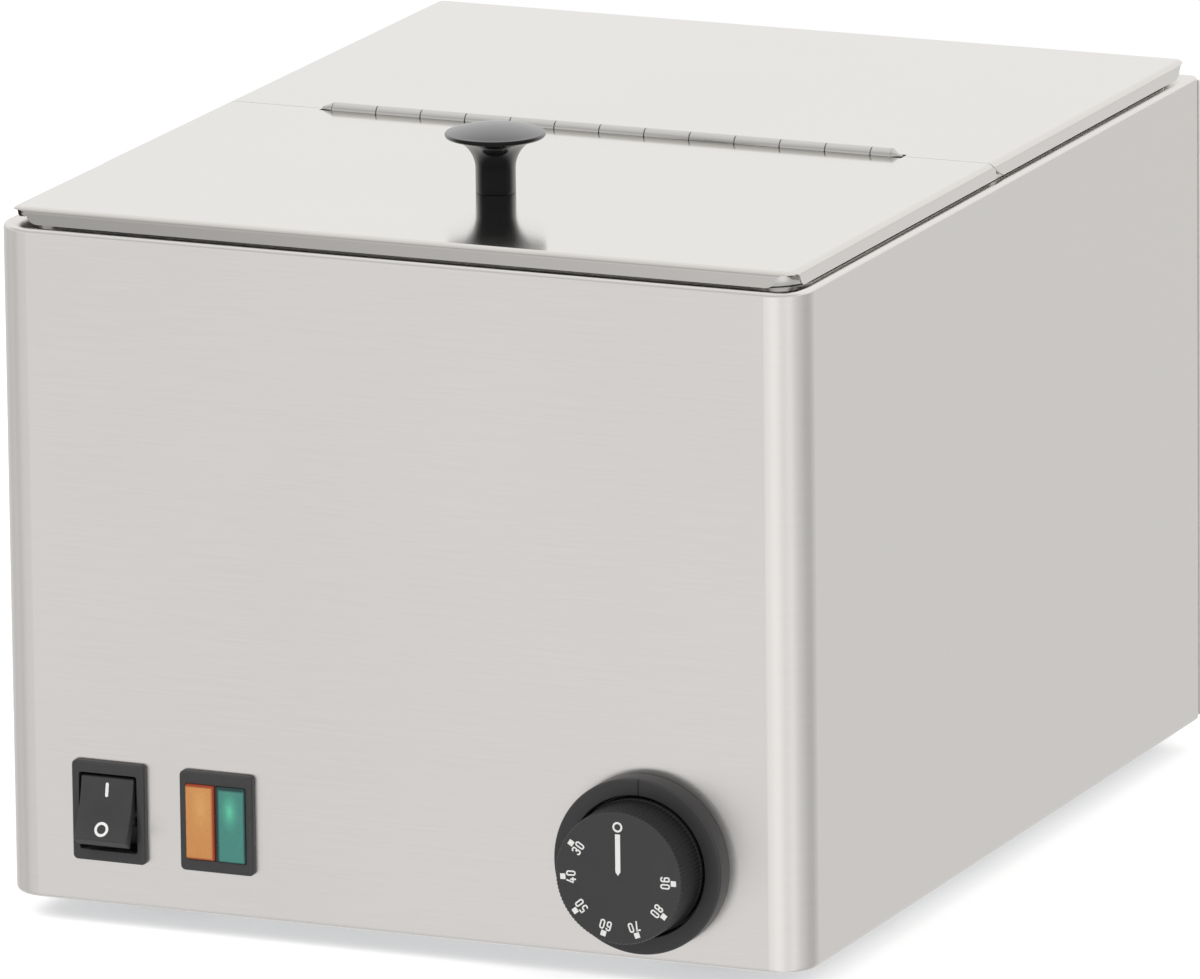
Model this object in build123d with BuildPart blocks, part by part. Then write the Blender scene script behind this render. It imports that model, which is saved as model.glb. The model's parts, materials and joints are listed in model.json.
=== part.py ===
from build123d import *
import math
import os

os.makedirs("parts", exist_ok=True)

# Half-size food pan, which the whole warmer is built around
pan_rim_width = 265.0
pan_rim_length = 325.0
pan_depth = 150.0
pan_sheet = 0.8
pan_rim_border = 11.5
pan_rim_drop = 5.1
pan_rim_corner = 15.0
pan_rim_roll = 2.4
pan_mouth_corner = 42.0
pan_mouth_round = 1.2
pan_wall_taper = 2.5
pan_floor_round = 20.0
pan_seat_gap = 0.2
pan_side_play = 1.7

# Perforated false floor in the pan
insert_sheet = 0.8
insert_height = 15.0
insert_margin = 6.5
insert_rest_gap = 0.5
insert_hole_diameter = 7.0
insert_hole_pitch = 24.0
insert_hole_border = 16.0
insert_finger_hole = 22.0

# Two-piece hinged lid
lid_sheet = 0.8
lid_side_play = 0.5
lid_end_play = 3.4
lid_rest_gap = 0.3
lid_flange_gap = 1.0
lid_bend_inner = 1.2
lid_corner_inner = 2.2
lid_seam_gap = 0.3
lid_seam_offset = 1.5
relief_reach = 9.8
relief_crown_reach = 2.4
relief_crown_web = 1.0
flange_end_start = 1.0
flange_end_bulge = 2.0
flange_end_tail = 1.6
flange_end_gap = 1.6
flange_end_sweep = 8.6

# Piano hinge between the lid panels
knuckle_diameter = 4.7
knuckle_pitch = 15.7
knuckle_count = 12
knuckle_tail = 7.0
knuckle_gap = 0.4
pin_diameter = 2.2
pin_clearance = 0.05
pin_left_cone = 3.8
pin_right_cone = 1.8
pin_tip = 1.6
pin_cone_end = 0.9
hinge_left_margin = 37.6
hinge_leaf_width = 19.0
hinge_leaf_sheet = 0.8
hinge_clearance = 0.4
hinge_slot_play = 0.2

# Mushroom knob on the lid
lid_knob_diameter = 32.0
lid_knob_rim_height = 18.6
lid_knob_dome = 3.2
lid_knob_neck_diameter = 12.8
lid_knob_neck_height = 7.6
lid_knob_edge = 0.8
lid_knob_setback = 73.1
lid_knob_shift = 1.5
knob_screw_diameter = 4.0
knob_screw_length = 12.0
knob_washer_diameter = 14.0
knob_washer_thickness = 0.8

# Casing of bent sheet
casing_sheet = 1.0
casing_corner_inner = 11.0
casing_bend_inner = 0.8
ledge_side = 4.2
ledge_front = 1.4
ledge_back = 6.2
casing_return = 14.0
rear_panel_sheet = 1.0
base_sheet = 1.0
base_inset = 6.0
foot_height = 7.0
foot_diameter = 25.0
foot_tip_diameter = 22.0
foot_inset = 45.0
foot_screw_diameter = 5.0
foot_screw_length = 13.0

# Water well that the pan hangs in
pan_shift = 1.8
well_sheet = 0.8
well_flange = 7.0
well_floor_gap = 15.0
well_floor_round = 12.0

# Front controls
control_height = 30.9
control_headroom = 11.9
switch_inset = 38.1
lamp_spacing = 37.6
dial_inset = 53.4
dial_rise = 1.4
cutout_width = 22.0
cutout_height = 30.0
cutout_play = 0.1
bezel_width = 25.4
bezel_height = 32.6
bezel_thickness = 2.4
bezel_corner = 1.6
bezel_bevel = 1.0
control_wall = 1.0
switch_depth = 20.0
switch_opening_width = 20.0
switch_opening_height = 25.1
switch_pocket = 9.0
rocker_width = 18.2
rocker_half_length = 10.0
rocker_face_height = 6.1
rocker_face_dip = 1.1
rocker_skirt = 2.0
rocker_stem_width = 8.0
rocker_stem_depth = 6.0
rocker_tilt = 19.0
trunnion_diameter = 3.0
trunnion_length = 1.6
running_clearance = 0.05
blade_width = 6.3
blade_thickness = 0.8
blade_length = 8.0
blade_root = 2.0

# Twin indicator lamp
lamp_depth = 24.0
lens_width = 10.1
lens_height = 24.6
lens_gap = 0.5
lens_proud = 0.8
lens_depth = 5.0
lens_bevel = 0.5
lens_play = 0.05
bulb_diameter = 6.0
bulb_length = 13.0

# Thermostat and its dial
ring_diameter = 56.8
ring_height = 7.1
ring_floor = 2.0
ring_bore = 45.8
ring_edge = 0.8
index_width = 0.5
index_depth = 0.3
dial_base_diameter = 43.8
dial_face_diameter = 42.8
dial_projection = 22.0
dial_lift = 0.7
dial_edge = 1.0
dial_face_thickness = 3.0
dial_wall = 2.2
dial_hub_diameter = 13.0
spindle_diameter = 6.0
spindle_flat = 1.4
spindle_reach = 16.5
spindle_play = 0.05
bushing_diameter = 10.0
bushing_length = 3.4
thermostat_width = 33.0
thermostat_height = 38.0
thermostat_depth = 28.0
dial_screw_spacing = 28.0
dial_screw_diameter = 4.0
dial_screw_length = 7.0

# Heating and safety parts under the well
heater_tube_diameter = 8.0
heater_bend_radius = 20.0
heater_outer_leg = 80.0
heater_inner_leg = 30.0
heater_front = 100.0
heater_middle = 42.0
heater_back = 90.0
heater_end_gap = 14.0
heater_tail = 17.0
stud_diameter = 5.0
stud_length = 19.0
stud_offset = 55.0
clamp_width = 12.0
clamp_sheet = 1.5
clamp_length = 190.0
nut_height = 4.0
nut_across = 8.0
shield_sheet = 0.8
shield_width = 204.0
shield_length = 206.0
shield_window_width = 60.0
shield_window_length = 26.0
shield_hole = 40.0
cutout_disc_diameter = 16.0
cutout_disc_height = 8.0
sensor_diameter = 6.0
sensor_length = 80.0
sensor_gap = 0.1
capillary_diameter = 1.8
capillary_bend = 6.0
clip_sheet = 0.8
clip_ear = 7.0
clip_length = 12.0

# Mains entry and wiring
gland_inset = 48.0
gland_height = 35.0
gland_thread_diameter = 16.0
gland_thread_length = 12.0
gland_hex = 22.0
gland_collar = 5.0
gland_nut_tip_diameter = 15.0
gland_bore = 8.0
locknut_height = 5.0
block_width = 36.0
block_length = 20.0
block_height = 18.0
block_inset = 76.0
block_back = 52.0
wire_diameter = 2.6
wire_bend = 8.0
wire_gap = 0.3

# Screws and holes
screw_diameter = 3.9
screw_length = 7.0
screw_head_diameter = 7.2
screw_head_height = 2.3
screw_slot = 1.0
hole_play = 0.1
touch_gap = 0.1

# Places worked out from the sizes: the well sits clear of the controls, and the casing's
# height follows from the pan's depth
under_well_height = control_height + cutout_height / 2 + control_headroom
casing_height = (under_well_height + well_sheet + well_floor_gap + pan_depth
                 - pan_rim_drop - pan_seat_gap)
lid_width = pan_rim_width + 2 * (lid_side_play + lid_sheet)
lid_length = pan_rim_length + 2 * (lid_end_play + lid_sheet)
casing_width = lid_width + 2 * ledge_side
casing_length = lid_length + ledge_front + ledge_back
front_y = -casing_length / 2
rear_y = casing_length / 2
shell_length = casing_length - rear_panel_sheet
shell_middle = front_y + shell_length / 2
shell_back = front_y + shell_length
lid_middle = front_y + ledge_front + lid_length / 2
pan_x = pan_shift
casing_bottom = foot_height + base_sheet
casing_top = casing_bottom + casing_height
pan_rim_bottom = casing_top + pan_seat_gap
pan_rim_top = pan_rim_bottom + pan_rim_drop
pan_bottom = pan_rim_top - pan_depth
pan_floor = pan_bottom + pan_sheet
lid_underside = pan_rim_top + lid_rest_gap
lid_top = lid_underside + lid_sheet
lid_flange_bottom = casing_top + lid_flange_gap
lid_flange_height = lid_top - lid_flange_bottom
hinge_y = lid_middle - lid_seam_offset
pan_mouth_width = pan_rim_width - 2 * pan_rim_border
pan_mouth_length = pan_rim_length - 2 * pan_rim_border
well_width = pan_mouth_width + 2 * (pan_sheet + pan_side_play)
well_length = pan_mouth_length + 2 * (pan_sheet + pan_side_play)
well_corner = pan_mouth_corner + pan_sheet + pan_side_play
well_floor = pan_bottom - well_floor_gap
well_underside = well_floor - well_sheet
control_z = casing_bottom + control_height
switch_x = -casing_width / 2 + switch_inset
lamp_x = switch_x + lamp_spacing
dial_x = casing_width / 2 - dial_inset
dial_z = control_z + dial_rise
inner_front_y = front_y + casing_sheet
panel_front = Plane.XZ.offset(-front_y)
panel_inside = Plane(origin=(0, inner_front_y, 0), x_dir=(-1, 0, 0), z_dir=(0, 1, 0))
rear_face = Plane(origin=(0, rear_y, 0), x_dir=(-1, 0, 0), z_dir=(0, 1, 0))
shell_face = Plane(origin=(0, shell_back, 0), x_dir=(-1, 0, 0), z_dir=(0, 1, 0))


# Block with the casing's outline, moved inwards by the given amount on every side
def casing_block(inset):
    with BuildPart() as block:
        with BuildSketch(Plane.XY.offset(casing_bottom + inset)) as plan:
            with Locations((0, shell_middle)):
                Rectangle(casing_width - 2 * inset, shell_length - 2 * inset)
            front_corners = plan.vertices().group_by(Axis.Y)[0]
            fillet(front_corners, casing_corner_inner + casing_sheet - inset)
        extrude(amount=casing_height - 2 * inset)
        uprights = block.edges().filter_by(Axis.Z).group_by(Axis.Y)[-1]
        rims = block.edges().group_by(Axis.Z)[0] + block.edges().group_by(Axis.Z)[-1]
        fillet(uprights + rims, casing_bend_inner + casing_sheet - inset)
    return block.part


# Screws with a flat round head: the head stands on the plane, the shank goes behind it
def screw_group(name, plane, spots, diameter, length, head_diameter, head_height):
    with BuildPart() as screws:
        with BuildSketch(plane):
            with Locations(*spots):
                Circle(head_diameter / 2)
        extrude(amount=head_height)
        crown = screws.edges().filter_by(GeomType.CIRCLE).sort_by(Axis(plane.origin, plane.z_dir))
        fillet(crown[-len(spots):], head_height * 0.4)
        with BuildSketch(plane):
            with Locations(*spots):
                Circle(diameter / 2)
        extrude(amount=-length)
        with BuildSketch(plane.offset(head_height)):
            with Locations(*spots):
                Rectangle(head_diameter * 0.55, screw_slot)
                Rectangle(screw_slot, head_diameter * 0.55)
        extrude(amount=-head_height / 2, mode=Mode.SUBTRACT)
    screws.part.label = name
    export_step(screws.part, f"parts/{name}.step")


# Hexagon nuts that stand on the plane
def nut_group(name, plane, spots, thread_diameter, across_flats, height):
    with BuildPart() as nuts:
        with BuildSketch(plane):
            with Locations(*spots):
                RegularPolygon(across_flats / 2, 6, major_radius=False)
                Circle(thread_diameter / 2 + hole_play, mode=Mode.SUBTRACT)
        extrude(amount=height)
    nuts.part.label = name
    export_step(nuts.part, f"parts/{name}.step")


# Round tube or rod along straight runs joined by arcs
def bent_rod(points, diameter, bend):
    with BuildPart() as rod:
        with BuildLine() as route:
            FilletPolyline(*points, radius=bend)
        with BuildSketch(Plane(origin=route.line @ 0, z_dir=route.line % 0)):
            Circle(diameter / 2)
        sweep()
    return rod.part


# Casing
casing_outer = casing_block(0)
casing_inner = casing_block(casing_sheet)
rear_screw_x = casing_width / 2 - casing_return / 2 - casing_sheet
rear_screw_low = casing_bottom + casing_return / 2 + casing_sheet
rear_screw_high = casing_top - casing_return / 2 - casing_sheet
rear_screw_rows = (rear_screw_low, casing_bottom + casing_height / 2, rear_screw_high)
rear_screw_spots = [(side * rear_screw_x, row) for side in (-1, 1) for row in rear_screw_rows]
rear_screw_spots += [(0, rear_screw_low), (0, rear_screw_high)]
base_screw_x = casing_width / 2 - casing_return / 2 - base_inset / 2
base_screw_reach = shell_length / 2 - casing_return / 2 - base_inset / 2
base_screw_spots = [(side * base_screw_x, shell_middle + row * base_screw_reach / 2)
                    for side in (-1, 1) for row in (-1, 0, 1)]
dial_screw_spots = [(dial_x - dial_screw_spacing / 2, dial_z),
                    (dial_x + dial_screw_spacing / 2, dial_z)]

with BuildPart() as casing:
    add(casing_outer)
    add(casing_inner, mode=Mode.SUBTRACT)
    # mouth of the well in the top ledge
    with BuildSketch(Plane.XY.offset(casing_top)):
        with Locations((pan_x, lid_middle)):
            RectangleRounded(well_width, well_length, well_corner)
    extrude(amount=-casing_sheet, mode=Mode.SUBTRACT)
    # open bottom inside the turned-in edge
    with BuildSketch(Plane.XY.offset(casing_bottom)):
        with Locations((0, shell_middle)):
            Rectangle(casing_width - 2 * casing_return, shell_length - 2 * casing_return)
        with Locations(*base_screw_spots):
            Circle(screw_diameter / 2 + hole_play)
    extrude(amount=casing_sheet, mode=Mode.SUBTRACT)
    # open back inside the turned-in edge
    with BuildSketch(shell_face):
        with Locations((0, casing_bottom + casing_height / 2)):
            Rectangle(casing_width - 2 * casing_return, casing_height - 2 * casing_return)
        with Locations(*rear_screw_spots):
            Circle(screw_diameter / 2 + hole_play)
    extrude(amount=-casing_sheet, mode=Mode.SUBTRACT)
    # holes for the controls
    with BuildSketch(panel_front):
        with Locations((switch_x, control_z), (lamp_x, control_z)):
            Rectangle(cutout_width, cutout_height)
        with Locations((dial_x, dial_z)):
            Circle(bushing_diameter / 2 + hole_play)
        with Locations(*dial_screw_spots):
            Circle(dial_screw_diameter / 2 + hole_play)
    extrude(amount=-casing_sheet, mode=Mode.SUBTRACT)
casing.part.label = "casing"
export_step(casing.part, "parts/casing.step")

# Rear panel
gland_x = -casing_width / 2 + gland_inset
gland_z = casing_bottom + gland_height
rear_panel_edge = casing_bend_inner + casing_sheet
with BuildPart() as rear_panel:
    with BuildSketch(shell_face):
        with Locations((0, casing_bottom + casing_height / 2)):
            Rectangle(casing_width, casing_height - 2 * rear_panel_edge)
        with Locations(*rear_screw_spots):
            Circle(screw_diameter / 2 + hole_play, mode=Mode.SUBTRACT)
        with Locations((-gland_x, gland_z)):
            Circle(gland_thread_diameter / 2 + hole_play, mode=Mode.SUBTRACT)
    extrude(amount=rear_panel_sheet)
rear_panel.part.label = "rear_panel"
export_step(rear_panel.part, "parts/rear_panel.step")
screw_group("rear_panel_screws", rear_face, rear_screw_spots, screw_diameter, screw_length,
            screw_head_diameter, screw_head_height)

# Base plate with cooling slots
foot_x = casing_width / 2 - foot_inset
foot_reach = shell_length / 2 - foot_inset
foot_spots = [(side * foot_x, shell_middle + end * foot_reach) for side in (-1, 1) for end in (-1, 1)]
block_x = -casing_width / 2 + block_inset
block_y = rear_y - block_back
earth_x = block_x + block_width
block_screw_spots = [(block_x + side * block_width / 4, block_y) for side in (-1, 1)]
slot_count = 7
slot_pitch = 12.0
slot_length = 40.0
slot_width = 4.0
slot_row = 62.0
with BuildPart() as base_plate:
    with BuildSketch(Plane.XY.offset(foot_height)):
        with Locations((0, shell_middle)):
            RectangleRounded(casing_width - 2 * base_inset, shell_length - 2 * base_inset,
                             casing_corner_inner + casing_sheet - base_inset)
            with GridLocations(slot_pitch, 2 * slot_row, slot_count, 2):
                SlotOverall(slot_length, slot_width, rotation=90, mode=Mode.SUBTRACT)
        with Locations(*base_screw_spots):
            Circle(screw_diameter / 2 + hole_play, mode=Mode.SUBTRACT)
        with Locations(*foot_spots, (earth_x, block_y)):
            Circle(foot_screw_diameter / 2 + hole_play, mode=Mode.SUBTRACT)
    extrude(amount=base_sheet)
base_plate.part.label = "base_plate"
export_step(base_plate.part, "parts/base_plate.step")
under_base = Plane(origin=(0, 0, foot_height), x_dir=(1, 0, 0), z_dir=(0, 0, -1))
base_screw_spots_below = [(x, -y) for x, y in base_screw_spots]
screw_group("base_screws", under_base, base_screw_spots_below, screw_diameter, screw_length,
            screw_head_diameter, screw_head_height)

# Rubber feet with their screws and nuts
foot_recess_diameter = 2 * foot_screw_diameter
foot_recess_depth = 3.4
foot_head_height = 2.8
with BuildPart() as feet:
    for foot_spot_x, foot_spot_y in foot_spots:
        with BuildSketch(Plane(origin=(foot_spot_x, foot_spot_y, 0), x_dir=(1, 0, 0), z_dir=(0, -1, 0))):
            with BuildLine():
                Polyline((foot_recess_diameter / 2, 0), (foot_tip_diameter / 2, 0),
                         (foot_diameter / 2, foot_height),
                         (foot_screw_diameter / 2 + hole_play, foot_height),
                         (foot_screw_diameter / 2 + hole_play, foot_recess_depth),
                         (foot_recess_diameter / 2, foot_recess_depth), close=True)
            make_face()
        revolve(axis=Axis((foot_spot_x, foot_spot_y, 0), (0, 0, 1)))
feet.part.label = "feet"
export_step(feet.part, "parts/feet.step")
foot_recess = Plane(origin=(0, 0, foot_recess_depth), x_dir=(1, 0, 0), z_dir=(0, 0, -1))
foot_spots_below = [(x, -y) for x, y in foot_spots]
screw_group("foot_screws", foot_recess, foot_spots_below, foot_screw_diameter, foot_screw_length,
            foot_recess_diameter - 2 * hole_play - screw_slot / 2, foot_head_height)
nut_group("foot_nuts", Plane.XY.offset(casing_bottom), foot_spots, foot_screw_diameter,
          nut_across, nut_height)


# Rounded tub that hangs from the given plane, with a rounded floor
def tub_block(width, length, corner, top, depth, floor_round, taper):
    with BuildPart() as tub:
        with BuildSketch(Plane(origin=(pan_x, lid_middle, top), x_dir=(1, 0, 0), z_dir=(0, 0, -1))):
            RectangleRounded(width, length, corner)
        extrude(amount=depth, taper=taper)
        fillet(tub.edges().group_by(Axis.Z)[0], floor_round)
    return tub.part


# Well with its flange welded under the ledge
well_flange_top = casing_top - casing_sheet
well_outer = tub_block(well_width + 2 * well_sheet, well_length + 2 * well_sheet,
                       well_corner + well_sheet, well_flange_top,
                       well_flange_top - well_underside, well_floor_round + well_sheet, 0)
well_inner = tub_block(well_width, well_length, well_corner, well_flange_top,
                       well_flange_top - well_floor, well_floor_round, 0)
with BuildPart() as well:
    with BuildSketch(Plane.XY.offset(well_flange_top)):
        with Locations((pan_x, lid_middle)):
            RectangleRounded(well_width + 2 * well_flange, well_length + 2 * well_flange,
                             well_corner + well_flange)
    extrude(amount=-well_sheet)
    add(well_outer)
    add(well_inner, mode=Mode.SUBTRACT)
well.part.label = "well"
export_step(well.part, "parts/well.step")

# Block with the outline of the pan's rim, moved inwards by the given amount
def rim_block(inset, bottom):
    with BuildPart() as block:
        with BuildSketch(Plane.XY.offset(bottom)):
            with Locations((pan_x, lid_middle)):
                RectangleRounded(pan_rim_width - 2 * inset, pan_rim_length - 2 * inset,
                                 pan_rim_corner - inset)
        extrude(amount=pan_rim_top - inset - bottom)
        fillet(block.edges().group_by(Axis.Z)[-1], pan_rim_roll - inset)
    return block.part


# Food pan with a turned-down rim
pan_outer = tub_block(pan_mouth_width + 2 * pan_sheet, pan_mouth_length + 2 * pan_sheet,
                      pan_mouth_corner + pan_sheet, pan_rim_top - pan_sheet / 2,
                      pan_depth - pan_sheet / 2, pan_floor_round + pan_sheet, pan_wall_taper)
pan_inner = tub_block(pan_mouth_width, pan_mouth_length, pan_mouth_corner, pan_rim_top,
                      pan_depth - pan_sheet, pan_floor_round, pan_wall_taper)
rim_outer = rim_block(0, pan_rim_bottom)
rim_inner = rim_block(pan_sheet, pan_rim_bottom - pan_seat_gap)
with BuildPart() as gn_pan:
    add(rim_outer)
    add(rim_inner, mode=Mode.SUBTRACT)
    add(pan_outer)
    add(pan_inner, mode=Mode.SUBTRACT)
    mouth_edges = gn_pan.edges().group_by(Axis.Z)[-1].filter_by(
        lambda edge: abs(edge.center().X) < (pan_mouth_width + pan_sheet) / 2
        and abs(edge.center().Y - lid_middle) < (pan_mouth_length + pan_sheet) / 2)
    fillet(mouth_edges, pan_mouth_round)
gn_pan.part.label = "gn_pan"
export_step(gn_pan.part, "parts/gn_pan.step")

# Perforated false floor, whose turned-down edge rests on the rounding of the pan's floor
floor_taper_loss = pan_depth * math.tan(math.radians(pan_wall_taper))
insert_width = pan_mouth_width - 2 * (floor_taper_loss + insert_margin)
insert_length = pan_mouth_length - 2 * (floor_taper_loss + insert_margin)
insert_corner = pan_mouth_corner - floor_taper_loss - insert_margin
rest_run = pan_floor_round - insert_margin
rest_rise = pan_floor_round - math.sqrt(pan_floor_round ** 2 - rest_run ** 2)
insert_bottom = pan_floor + rest_rise + insert_rest_gap
insert_top = pan_floor + insert_height
hole_columns = int((insert_width - 2 * insert_hole_border) / insert_hole_pitch) + 1
hole_rows = int((insert_length - 2 * insert_hole_border) / insert_hole_pitch) + 1
finger_spots = [(pan_x, lid_middle + side * insert_hole_pitch * 3.5) for side in (-1, 1)]
with BuildPart() as pan_insert:
    with BuildSketch(Plane.XY.offset(insert_bottom)):
        with Locations((pan_x, lid_middle)):
            RectangleRounded(insert_width, insert_length, insert_corner)
    extrude(amount=insert_top - insert_bottom)
    with BuildSketch(Plane.XY.offset(insert_bottom)):
        with Locations((pan_x, lid_middle)):
            RectangleRounded(insert_width - 2 * insert_sheet, insert_length - 2 * insert_sheet,
                             insert_corner - insert_sheet)
    extrude(amount=insert_top - insert_bottom - insert_sheet, mode=Mode.SUBTRACT)
    with BuildSketch(Plane.XY.offset(insert_top)):
        with Locations((pan_x, lid_middle)):
            with GridLocations(insert_hole_pitch, insert_hole_pitch, hole_columns, hole_rows):
                Circle(insert_hole_diameter / 2)
        with Locations(*finger_spots):
            Circle(insert_finger_hole / 2)
    extrude(amount=-insert_sheet, mode=Mode.SUBTRACT)
pan_insert.part.label = "pan_insert"
export_step(pan_insert.part, "parts/pan_insert.step")


# Block with the lid's outline, moved inwards by the given amount
def lid_block(inset, bottom):
    with BuildPart() as block:
        with BuildSketch(Plane.XY.offset(bottom)):
            with Locations((pan_x, lid_middle)):
                RectangleRounded(lid_width - 2 * inset, lid_length - 2 * inset,
                                 lid_corner_inner + lid_sheet - inset)
        extrude(amount=lid_top - inset - bottom)
        fillet(block.edges().group_by(Axis.Z)[-1], lid_bend_inner + lid_sheet - inset)
    return block.part


# Lid tray before it is cut in two, with an arched relief at each corner
relief_half = relief_reach / math.sqrt(2)
relief_crown_half = relief_crown_reach / math.sqrt(2)
relief_middle = (relief_half + relief_crown_half) / 2
relief_height = lid_flange_height - relief_crown_web
relief_foot_drop = 1.0
lid_outer = lid_block(0, lid_flange_bottom)
lid_inner = lid_block(lid_sheet, lid_flange_bottom - relief_foot_drop)
with BuildPart() as lid_tray:
    add(lid_outer)
    add(lid_inner, mode=Mode.SUBTRACT)
    for side in (-1, 1):
        for end in (-1, 1):
            corner = (pan_x + side * lid_width / 2, lid_middle + end * lid_length / 2, lid_flange_bottom)
            relief_plane = Plane(origin=corner, x_dir=(side, -end, 0), z_dir=(-side, -end, 0))
            up = 1 if relief_plane.y_dir.Z > 0 else -1
            crown_z = up * relief_height
            middle_left = (-relief_middle, crown_z / 2)
            middle_right = (relief_middle, crown_z / 2)
            with BuildSketch(relief_plane):
                with BuildLine():
                    TangentArc((-relief_half, 0), middle_left, tangent=(1, 0))
                    TangentArc((-relief_crown_half, crown_z), middle_left, tangent=(-1, 0))
                    Line((-relief_crown_half, crown_z), (relief_crown_half, crown_z))
                    TangentArc((relief_crown_half, crown_z), middle_right, tangent=(1, 0))
                    TangentArc((relief_half, 0), middle_right, tangent=(-1, 0))
                    Polyline((-relief_half, 0), (-relief_half, -up * relief_foot_drop),
                             (relief_half, -up * relief_foot_drop), (relief_half, 0))
                make_face()
            extrude(amount=relief_half + 2 * lid_sheet, mode=Mode.SUBTRACT)

# Profile along which the two lid panels part, seen from the side: the front panel's
# flange ends in a bulge, and the rear panel's flange is swept back to let it swing
seam_half = lid_seam_gap / 2
lid_front_y = lid_middle - lid_length / 2
profile_over = 1.0
flange_low = lid_flange_height + profile_over
hinge_z = lid_top
hinge_start = pan_x - lid_width / 2 + hinge_left_margin
hinge_end = hinge_start + knuckle_count * knuckle_pitch + knuckle_tail
hinge_length = hinge_end - hinge_start
notch_reach = knuckle_diameter / 2 + hinge_slot_play
notch_start = hinge_start - pin_left_cone - hinge_clearance
notch_end = hinge_end + pin_right_cone + pin_tip + hinge_clearance
lid_knob_x = pan_x + lid_knob_shift
lid_knob_y = lid_front_y + lid_knob_setback
seam_plane = Plane(origin=(0, hinge_y, hinge_z), x_dir=(0, 1, 0), z_dir=(1, 0, 0))


# Room for the hinge in the lid sheets
with BuildPart() as hinge_slot:
    with BuildSketch(Plane.XY.offset(lid_underside - hinge_clearance)):
        with Locations(((notch_start + notch_end) / 2, hinge_y)):
            Rectangle(notch_end - notch_start, 2 * notch_reach)
    extrude(amount=lid_sheet + 2 * hinge_clearance)


# Front lid panel
with BuildPart() as front_lid:
    add(lid_tray.part)
    with BuildSketch(seam_plane):
        with BuildLine():
            bulge = ThreePointArc((-seam_half, -flange_end_start),
                                  (flange_end_bulge, -(lid_flange_height + flange_end_start) / 2),
                                  (flange_end_tail, -lid_flange_height))
            Polyline(bulge @ 1, (flange_end_tail, -flange_low), (-lid_length, -flange_low),
                     (-lid_length, profile_over), (-seam_half, profile_over), bulge @ 0)
        make_face()
    extrude(amount=lid_width, both=True, mode=Mode.INTERSECT)
    add(hinge_slot.part, mode=Mode.SUBTRACT)
    with BuildSketch(Plane.XY.offset(lid_underside)):
        with Locations((lid_knob_x, lid_knob_y)):
            Circle(knob_screw_diameter / 2 + hole_play)
    extrude(amount=lid_sheet, mode=Mode.SUBTRACT)
front_lid.part.label = "front_lid"
export_step(front_lid.part, "parts/front_lid.step")

# Rear lid panel
with BuildPart() as rear_lid:
    add(lid_tray.part)
    with BuildSketch(seam_plane):
        with BuildLine():
            sweep_back = ThreePointArc((seam_half + lid_seam_gap, -flange_end_start),
                                       (flange_end_bulge + flange_end_gap,
                                        -(lid_flange_height + flange_end_start) / 2),
                                       (flange_end_sweep, -lid_flange_height))
            Polyline(sweep_back @ 1, (flange_end_sweep, -flange_low), (lid_length, -flange_low),
                     (lid_length, profile_over), (seam_half, profile_over),
                     (seam_half, -lid_sheet), (seam_half + lid_seam_gap, -lid_sheet), sweep_back @ 0)
        make_face()
    extrude(amount=lid_width, both=True, mode=Mode.INTERSECT)
    add(hinge_slot.part, mode=Mode.SUBTRACT)
rear_lid.part.label = "rear_lid"
export_step(rear_lid.part, "parts/rear_lid.step")


# One leaf of the piano hinge: side is -1 in front of the pin and 1 behind it
def hinge_leaf(name, side, own_knuckles):
    leaf_near = knuckle_diameter / 2 + hinge_clearance
    with BuildPart() as leaf:
        with BuildSketch(Plane.XY.offset(lid_underside - hinge_leaf_sheet)):
            with Locations(((hinge_start + hinge_end) / 2,
                            hinge_y + side * (leaf_near + hinge_leaf_width) / 2)):
                Rectangle(hinge_length, hinge_leaf_width - leaf_near)
            for left, right in own_knuckles:
                with Locations(((left + right) / 2, hinge_y + side * leaf_near / 2)):
                    Rectangle(right - left, leaf_near)
        extrude(amount=hinge_leaf_sheet)
        for left, right in own_knuckles:
            with BuildSketch(Plane.YZ.offset(left)):
                with Locations((hinge_y, hinge_z)):
                    Circle(knuckle_diameter / 2)
            extrude(amount=right - left)
        with BuildSketch(Plane.YZ.offset(hinge_start)):
            with Locations((hinge_y, hinge_z)):
                Circle(pin_diameter / 2 + pin_clearance)
        extrude(amount=hinge_length, mode=Mode.SUBTRACT)
    leaf.part.label = name
    export_step(leaf.part, f"parts/{name}.step")


knuckles = [(hinge_start + i * knuckle_pitch + knuckle_gap / 2,
             hinge_start + (i + 1) * knuckle_pitch - knuckle_gap / 2) for i in range(knuckle_count)]
knuckles.append((knuckles[-1][1] + knuckle_gap, hinge_end))
hinge_leaf("rear_hinge_leaf", 1, knuckles[0::2])
hinge_leaf("front_hinge_leaf", -1, knuckles[1::2])

# Hinge pin with a cone swaged on each end
cone_radius = knuckle_diameter / 2 - pin_clearance
with BuildPart() as hinge_pin:
    with BuildSketch(Plane(origin=(0, hinge_y, hinge_z), x_dir=(1, 0, 0), z_dir=(0, -1, 0))):
        with BuildLine():
            Polyline((hinge_start - pin_left_cone, 0), (hinge_start - pin_left_cone, pin_cone_end),
                     (hinge_start, cone_radius), (hinge_start, pin_diameter / 2),
                     (hinge_end + pin_clearance, pin_diameter / 2),
                     (hinge_end + pin_clearance, cone_radius),
                     (hinge_end + pin_right_cone, pin_cone_end),
                     (hinge_end + pin_right_cone + pin_tip, pin_cone_end / 2),
                     (hinge_end + pin_right_cone + pin_tip, 0), close=True)
        make_face()
    revolve(axis=Axis((0, hinge_y, hinge_z), (1, 0, 0)))
hinge_pin.part.label = "hinge_pin"
export_step(hinge_pin.part, "parts/hinge_pin.step")

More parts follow.
